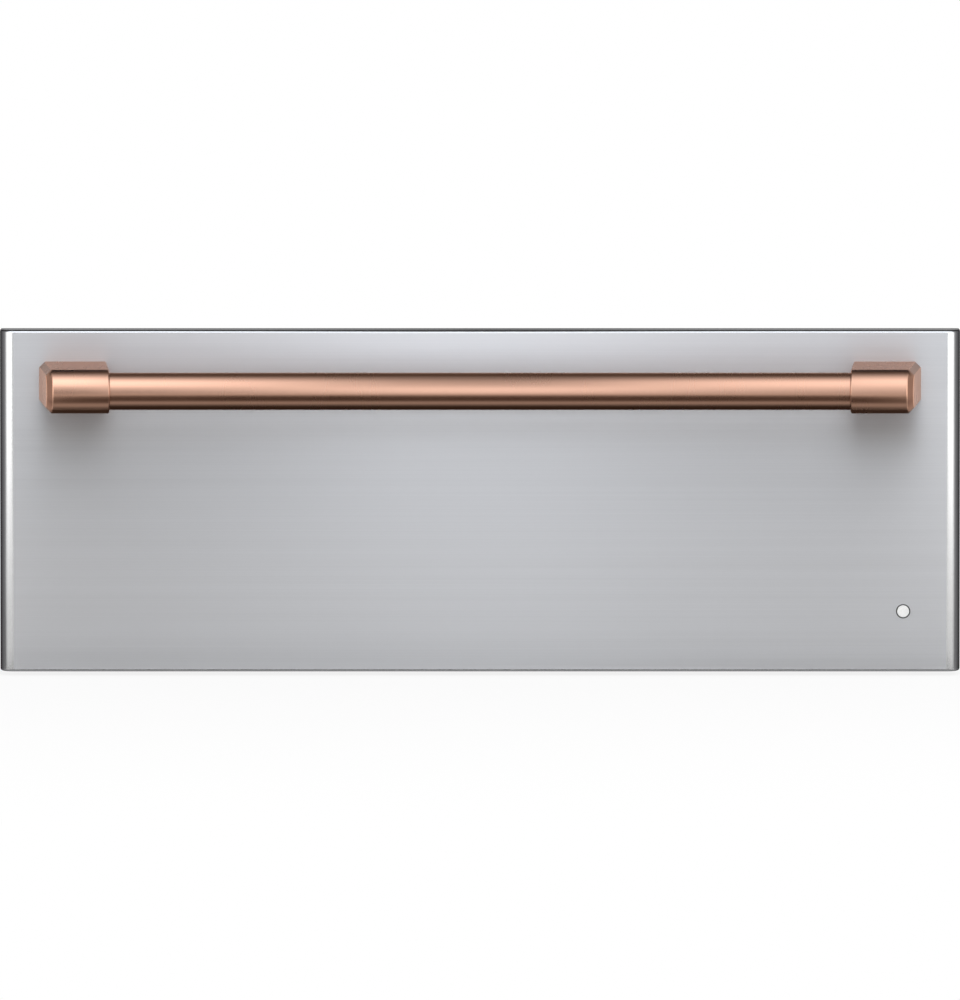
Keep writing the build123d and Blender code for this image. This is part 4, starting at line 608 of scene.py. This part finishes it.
def eased_bevel(width, edge):
    """Insets and drops from a flat end over a bevel to the side, with both edges eased."""
    path, slant = [], 0.7 * edge
    for corner, before, after in (((width, 0), (edge, 0), (-slant, slant)),
                                  ((0, width), (slant, -slant), (0, edge))):
        for step in range(edge_steps + 1):
            t = step / edge_steps
            path.append(tuple(corner[k] + (1 - t) ** 2 * before[k] + t ** 2 * after[k] for k in (0, 1)))
    return path


def post_mesh(node, side):
    """A post as rings from its outer end to the inner one, where a socket takes the tube."""
    low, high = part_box(node)
    radius, depth = (high.z - low.z) / 2, high.y - low.y
    middle_y, middle_z = low.y + radius, (low.z + high.z) / 2
    outer, inner = max(abs(low.x), abs(high.x)), min(abs(low.x), abs(high.x))

    def outer_end(y):
        return outer - post_outer_flare * (high.y - y) / depth

    def inner_end(y):
        return inner + post_inner_flare * (y - low.y) / depth

    rings = [(inset, outer_end, -drop) for inset, drop in eased_bevel(post_bevel, post_edge)]
    rings += [(inset, inner_end, drop) for inset, drop in eased_bevel(post_inner_bevel, post_edge / 2)[::-1]]
    points, faces, bevels = [], [], []
    for inset, end, shift in rings:
        r = radius - inset
        arc = [math.pi * turn / post_turns for turn in range(post_turns + 1)]
        section = [(middle_y - r * math.sin(angle), r * math.cos(angle)) for angle in arc]
        for y, z in [(high.y, r), *section, (high.y, -r)]:
            points.append(Vector((side * (end(y) + shift), y, middle_z + z)))
    count = post_turns + 3
    for ring, k in product(range(len(rings) - 1), range(count)):
        a, b = ring * count + k, ring * count + (k + 1) % count
        faces.append((a, b, b + count, a + count))
        bevels.append(ring == edge_steps)
    faces.append(tuple(range(count)))
    rim = list(range((len(rings) - 1) * count, len(rings) * count))
    mouth = list(range(len(points), len(points) + post_turns))
    for turn in range(post_turns):
        angle = 2 * math.pi * turn / post_turns
        y, z = middle_y - socket_radius * math.sin(angle), middle_z + socket_radius * math.cos(angle)
        points.append(Vector((side * inner_end(y), y, z)))
    loops = [[points[k].yz.to_3d() for k in loop] for loop in (rim, mouth)]
    order = rim + mouth
    faces += [tuple(order[k] for k in corner) for corner in geometry.tessellate_polygon(loops)]
    points += [points[k] + Vector((side * socket_depth, 0, 0)) for k in mouth]
    for a, b in zip(mouth, mouth[1:] + mouth[:1]):
        faces.append((a, b, b + post_turns, a + post_turns))
    faces.append(tuple(k + post_turns for k in mouth))
    mesh = bpy.data.meshes.new(node)
    mesh.from_pydata(points, [], faces)
    weld(mesh)
    mesh.set_sharp_from_angle(angle=post_crease)
    return mesh, bevels


for node, side in (("handle_end_left", -1), ("handle_end_right", 1)):
    mesh, bevels = post_mesh(node, side)
    add_piece(node.replace("end", "post"), mesh, copper, "drawer", "copper", node)
    # The bevel faces take the darker copper, painted shade.
    mesh.materials.append(bevel_painted_shade.material)
    for face, bevel in zip(mesh.polygons, bevels):
        face.material_index = 1 if bevel else 0
dress(screw_zinc, "handle_screws")


# Power light: a white lens pressed into the panel, lit across the gap by a lamp in the right stile.
# Opal plastic with a soft gloss, painted black from just behind the panel's face as painted shade in the gap
# round the lens.
# The lamp's body is the same plastic in a warmer white.
def opal(name, tone):
    finish = moulded(name, tone, 0.22, 900)
    finish.fix("Subsurface Weight", 0.3)
    finish.fix("Subsurface Radius", (0.002, 0.002, 0.002))
    finish.fix("Coat Weight", 0.5)
    finish.fix("Coat Roughness", 0.1)
    return finish


# Painted shade: the lens goes black behind the panel's face, which darkens the gap round it.
gap_shade_start, gap_shade_full = 0.0006, 0.0009
gap_shade_black = (0.07, 0.07, 0.073)
lens = opal("lens_white", (0.90, 0.90, 0.89))
lens_face = lens.shader.inputs["Base Color"].links[0].from_socket
lens_depth = lens.add("SeparateXYZ", {0: lens.place}, "Y")
gap_shade_share = lens.stretch(lens_depth, panel_y + gap_shade_start, panel_y + gap_shade_full)
lens.vary("Base Color", lens.mix(gap_shade_share, lens_face, gap_shade_black))
dress(lens, "indicator_lens")
dress(opal("lamp_plastic", (0.76, 0.76, 0.72)), "indicator_lamp")


# Wiring box: four walls on the rear panel, a screwed cover, and the gland that takes the supply cord.
# Galvanised sheet, and a black nylon gland with its nut inside.
dress(galvanised, "wiring_box", "wiring_box_cover")
dress(moulded("gland_plastic", (0.028, 0.028, 0.028), 0.5), "cord_gland")


# Floor: a plain pale floor, far wider than the picture, just under the object.
# Matt white paint, which glows for the eye and in reflections and takes a soft shadow near the object.
def stage_piece(name, mesh, finish):
    mesh.materials.append(finish.material)
    sheet = bpy.data.objects.new(name, mesh)
    bpy.context.scene.collection.objects.link(sheet)
    return sheet


def stage_sheet(name, corner, along, up, finish):
    """A flat sheet of the studio, from one corner along two edges."""
    start, along, up = Vector(corner), Vector(along), Vector(up)
    mesh = bpy.data.meshes.new(name)
    mesh.from_pydata([start, start + along, start + along + up, start + up], [], [(0, 1, 2, 3)])
    return stage_piece(name, mesh, finish)


def seen_rays(tree, *kinds):
    """One for the kinds of ray named, none for the others."""
    rays = add_node(tree, "LightPath", output=None)
    seen = rays[kinds[0]]
    for kind in kinds[1:]:
        seen = add_node(tree, "Math", {0: seen, 1: rays[kind]}, operation="MAXIMUM")
    return seen


def floor_paint():
    white, near, far, near_glow = 0.86, 0.5, 1.3, 0.86
    finish = Finish("floor_paint", metallic=0.0, roughness=0.9)
    finish.fix("Base Color", (white, white, white, 1))
    finish.fix("Specular IOR Level", 0.0)
    away = finish.add("VectorMath", {0: finish.place}, "Value", operation="LENGTH")
    whiteness = finish.stretch(away, near, far, near_glow, 1.0, interpolation_type="SMOOTHSTEP")
    seen = seen_rays(finish.tree, "Is Camera Ray", "Is Glossy Ray", "Is Transmission Ray")
    share = finish.combine(seen, whiteness, "MULTIPLY")
    glow = finish.add("Emission", {"Color": (1, 1, 1, 1), "Strength": 1.0})
    blend = finish.add("MixShader", {0: share, 1: finish.shader.outputs[0], 2: glow})
    finish.tree.links.new(blend, finish.tree.nodes["Material Output"].inputs["Surface"])
    return finish


floor_half, floor_drop = 30, 0.0002
stage_sheet("floor", (-floor_half, -floor_half, cad_box[0].z - floor_drop), (2 * floor_half, 0, 0),
            (0, 2 * floor_half, 0), floor_paint())


# Floor card: paper on the floor before the front, seen in reflections alone.
# It gives the bar its dark lower bands, with a pale strip right under the handle and grey to both sides.
brightest = 2.5


def bands(finish, value, *stops, top=brightest):
    """Tones at places along a value, as shares of the brightest one that can be had."""
    low, high = stops[0][0], stops[-1][0]
    tones = [tone if isinstance(tone, tuple) else (tone, tone, tone) for place, tone in stops]
    return finish.ramp(finish.stretch(value, low, high),
                       *(((place - low) / (high - low), tuple(part / top for part in tone))
                         for (place, _), tone in zip(stops, tones)))


def glowing(finish, tone, again=1.0):
    """Light of a tone from a sheet, weaker by a share where a reflection is reflected again."""
    bounce = finish.add("LightPath", output="Ray Depth")
    strength = finish.stretch(bounce, 1.0, 2.0, brightest, brightest * again)
    glow = finish.add("Emission", {"Color": tone, "Strength": strength})
    finish.tree.links.new(glow, finish.tree.nodes["Material Output"].inputs["Surface"])
    return finish


def reflections_only(sheet):
    for rays in ("camera", "diffuse", "shadow", "transmission"):
        setattr(sheet, "visible_" + rays, False)


def dark_card():
    warm_black, side_grey = (0.058, 0.038, 0.028), 0.5 / brightest
    finish = Finish("dark_card", metallic=0.0, roughness=1.0)
    place = finish.add("SeparateXYZ", {0: finish.place}, None)
    before = finish.combine(panel_y, place["Y"], "SUBTRACT")
    middle = bands(finish, before, (0.0, 0.05), (0.065, 0.10), (0.12, 0.40), (0.16, 0.48), (0.24, warm_black),
                   (0.55, warm_black), (0.70, 0.30), (0.95, 0.78), (1.25, 0.95))
    aside = finish.add("Math", {0: place["X"]}, operation="ABSOLUTE")
    share = bands(finish, aside, (0.36, 0.0), (0.44, 1.0), top=1.0)
    return glowing(finish, finish.mix(share, middle, (side_grey, side_grey, side_grey)))


card_half, card_reach, card_gap, card_lift = 0.8, 1.25, 0.005, 0.001
reflections_only(stage_sheet("floor_card", (-card_half, panel_y - card_reach, card_lift),
                             (2 * card_half, 0, 0), (0, card_reach - card_gap, 0), dark_card()))


# Rear flag: dark paper above the front's top edge, which slopes down towards the rear.
# The top bend mirrors it as a thin dark line. It is seen in reflections alone.
def flag_paper(name, tone):
    return glowing(Finish(name, metallic=0.0, roughness=1.0), (*tone, 1))


rear_half, rear_before, rear_top, rear_slope = 0.45, 0.006, 0.426, (0, 0.122, -0.102)
reflections_only(stage_sheet("rear_flag", (-rear_half, panel_y - rear_before, rear_top),
                             (2 * rear_half, 0, 0), rear_slope,
                             flag_paper("rear_flag", (0.036, 0.030, 0.027))))


# Side screens: one at each side before the front, turned towards it and seen in reflections alone.
# White cloth, lit brightly above and greyer towards the floor, for the bright lines along the rolls.
second_bounce = 0.65


def screen_cloth(name, level):
    finish = Finish(name, metallic=0.0, roughness=1.0)
    height = finish.add("SeparateXYZ", {0: finish.place}, "Z")
    tones = bands(finish, height, (0.0, 0.4 * level), (0.14, 1.2 * level), (0.5, 1.3 * level))
    return glowing(finish, tones, second_bounce)


screen_aside, screen_before, screen_lift, screen_height = 0.52, 0.62, 0.002, 0.5
screen_out, screen_back = 0.23, 0.42
for name, side, level in (("left_screen", -1, 1.3), ("right_screen", 1, 1.38)):
    reflections_only(stage_sheet(name, (side * screen_aside, panel_y - screen_before, screen_lift),
                                 (side * screen_out, screen_back, 0), (0, 0, screen_height),
                                 screen_cloth(name, level)))


# Handle flags: one under the bar, and one below and one above each post, seen in reflections alone.
# Black paper. The bar's lower edge mirrors the first, and the panel shows the others as soft shade.
bar_low, bar_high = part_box("handle_bar")
bar_axis = (bar_low + bar_high) / 2
under_half, under_before, under_drop, under_depth = 0.345, 0.007, 0.0265, 0.032
reflections_only(stage_sheet("under_flag", (-under_half, bar_axis.y - under_before, bar_axis.z - under_drop),
                             (2 * under_half, 0, 0), (0, under_depth, 0),
                             flag_paper("under_flag", (0.012, 0.008, 0.006))))
lower_drop, lower_height, lower_tone = 0.026, 0.02, (0.03, 0.03, 0.031)
upper_rise, upper_height, upper_tone = 0.001, 0.006, (0.006, 0.008, 0.014)
for side in ("left", "right"):
    post_low, post_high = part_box(f"handle_end_{side}")
    for name, foot, height, tone in (
            (f"post_flag_{side}", post_low.z - lower_drop, lower_height, lower_tone),
            (f"upper_flag_{side}", post_high.z + upper_rise, upper_height, upper_tone)):
        reflections_only(stage_sheet(name, (post_low.x, bar_axis.y, foot), (post_high.x - post_low.x, 0, 0),
                                     (0, 0, height), flag_paper(name, tone)))


# Light tent: a curved sheet round the bar's axis, from just below the level of the bar to overhead.
# White cloth, lit at the front in mid-length, higher up over both posts, and dark overhead.
# It gives the copper and the panel their bright bands, and is seen in reflections alone.
tent_radius, tent_half, tent_panes = 0.7, 1.0, 40
tent_start, tent_sweep = -9, 119
cool_tint = (0.96, 1.015, 1.09)


def tent_cloth():
    finish = Finish("tent_cloth", metallic=0.0, roughness=1.0)
    place = finish.add("SeparateXYZ", {0: finish.place}, None)
    rise = finish.combine(place["Z"], -bar_axis.z)
    reach = finish.combine(bar_axis.y, place["Y"], "SUBTRACT")
    height = finish.add("Math", {0: finish.combine(rise, reach, "ARCTAN2")}, operation="DEGREES")
    middle = bands(finish, height, (-10, 1.2), (4, 1.82), (22, 1.74), (34, 0.88), (48, 0.3), (66, 0.13),
                   (88, 0.13), (110, 0.25))
    ends = bands(finish, height, (-10, 0.2), (6, 0.46), (22, 0.9), (40, 2.1), (62, 2.5), (82, 1.5), (98, 0.5),
                 (110, 0.35))
    share = bands(finish, place["X"], (-0.4, 1), (-0.256, 0.95), (-0.16, 0.55), (-0.064, 0.12), (0.064, 0.12),
                  (0.128, 0.45), (0.208, 0.74), (0.4, 0.76), top=1.0)
    cool = finish.mix(1.0, finish.mix(share, middle, ends), cool_tint, "MULTIPLY")
    return glowing(finish, cool, second_bounce)


tent_points, tent_faces = [], []
for pane in range(tent_panes + 1):
    angle = math.radians(tent_start + tent_sweep * pane / tent_panes)
    for side in (-1, 1):
        tent_points.append((side * tent_half, bar_axis.y - tent_radius * math.cos(angle),
                            bar_axis.z + tent_radius * math.sin(angle)))
    if pane:
        tent_faces.append((2 * pane - 2, 2 * pane - 1, 2 * pane + 1, 2 * pane))
tent_mesh = bpy.data.meshes.new("light_tent")
tent_mesh.from_pydata(tent_points, [], tent_faces)
reflections_only(stage_piece("light_tent", tent_mesh, tent_cloth()))


# Surround: a white studio all round, plain white to the eye.
# It fills the shadows softly, and metal mirrors it white at eye level and greyer overhead.
fill_light, overhead_start, overhead_grey = 0.6, 0.5, 0.6
world = bpy.data.worlds.new("surround")
bpy.context.scene.world = world
world.use_nodes = True
sky = world.node_tree
direction = add_node(sky, "TexCoord", output="Generated")
upward = add_node(sky, "SeparateXYZ", {0: direction}, "Z")
mirrored = add_node(sky, "MapRange", {"Value": upward, "From Min": overhead_start,
                                      "To Min": 1.0, "To Max": overhead_grey})
gloss_rays = seen_rays(sky, "Is Glossy Ray", "Is Transmission Ray")
for_gloss = add_node(sky, "Mix", {"Factor": gloss_rays, 2: fill_light, 3: mirrored})
for_eye = add_node(sky, "Mix", {"Factor": seen_rays(sky, "Is Camera Ray"), 2: for_gloss, 3: 1.0})
backdrop = sky.nodes["Background"]
backdrop.inputs["Color"].default_value = (1, 1, 1, 1)
sky.links.new(for_eye, backdrop.inputs["Strength"])


# Key lamp: one large soft lamp, high before the object and to its right.
# It shades the matt surfaces and is not seen in the metal.
key_place, key_aim = Vector((0.6, -1.9, 2.6)), Vector((0, -0.1, 0.1))
key_lamp = bpy.data.lights.new("key_lamp", "AREA")
key_lamp.shape = "RECTANGLE"
key_lamp.size, key_lamp.size_y = 1.8, 1.2
key_lamp.energy = 45.0
key_holder = bpy.data.objects.new("key_lamp", key_lamp)
bpy.context.scene.collection.objects.link(key_holder)
key_holder.location = key_place
key_holder.rotation_euler = (key_aim - key_place).to_track_quat("-Z", "Y").to_euler()
key_holder.visible_glossy = False


# Camera: far off on a long lens and a little above, as the photograph was taken.
# It looks at the middle of the front, whose rear edge fills the picture from side to side.
camera_tilt = math.radians(6.1)
camera_distance = 20.0
picture_height, front_pixels = 1000, 960.3
aim_raise = 0.0009
camera = bpy.data.cameras.new("camera")
front_width = panel_high.x - panel_low.x
camera.lens = camera.sensor_width * camera_distance / (front_width * picture_height / front_pixels)
viewer = bpy.data.objects.new("camera", camera)
bpy.context.scene.collection.objects.link(viewer)
aim = Vector((0, panel_y, (panel_low.z + panel_high.z) / 2 + aim_raise))
viewer.location = aim + camera_distance * Vector((0, -math.cos(camera_tilt), math.sin(camera_tilt)))
viewer.rotation_euler = (math.pi / 2 - camera_tilt, 0, 0)
bpy.context.scene.camera = viewer
bpy.context.scene.view_settings.view_transform = "Standard"
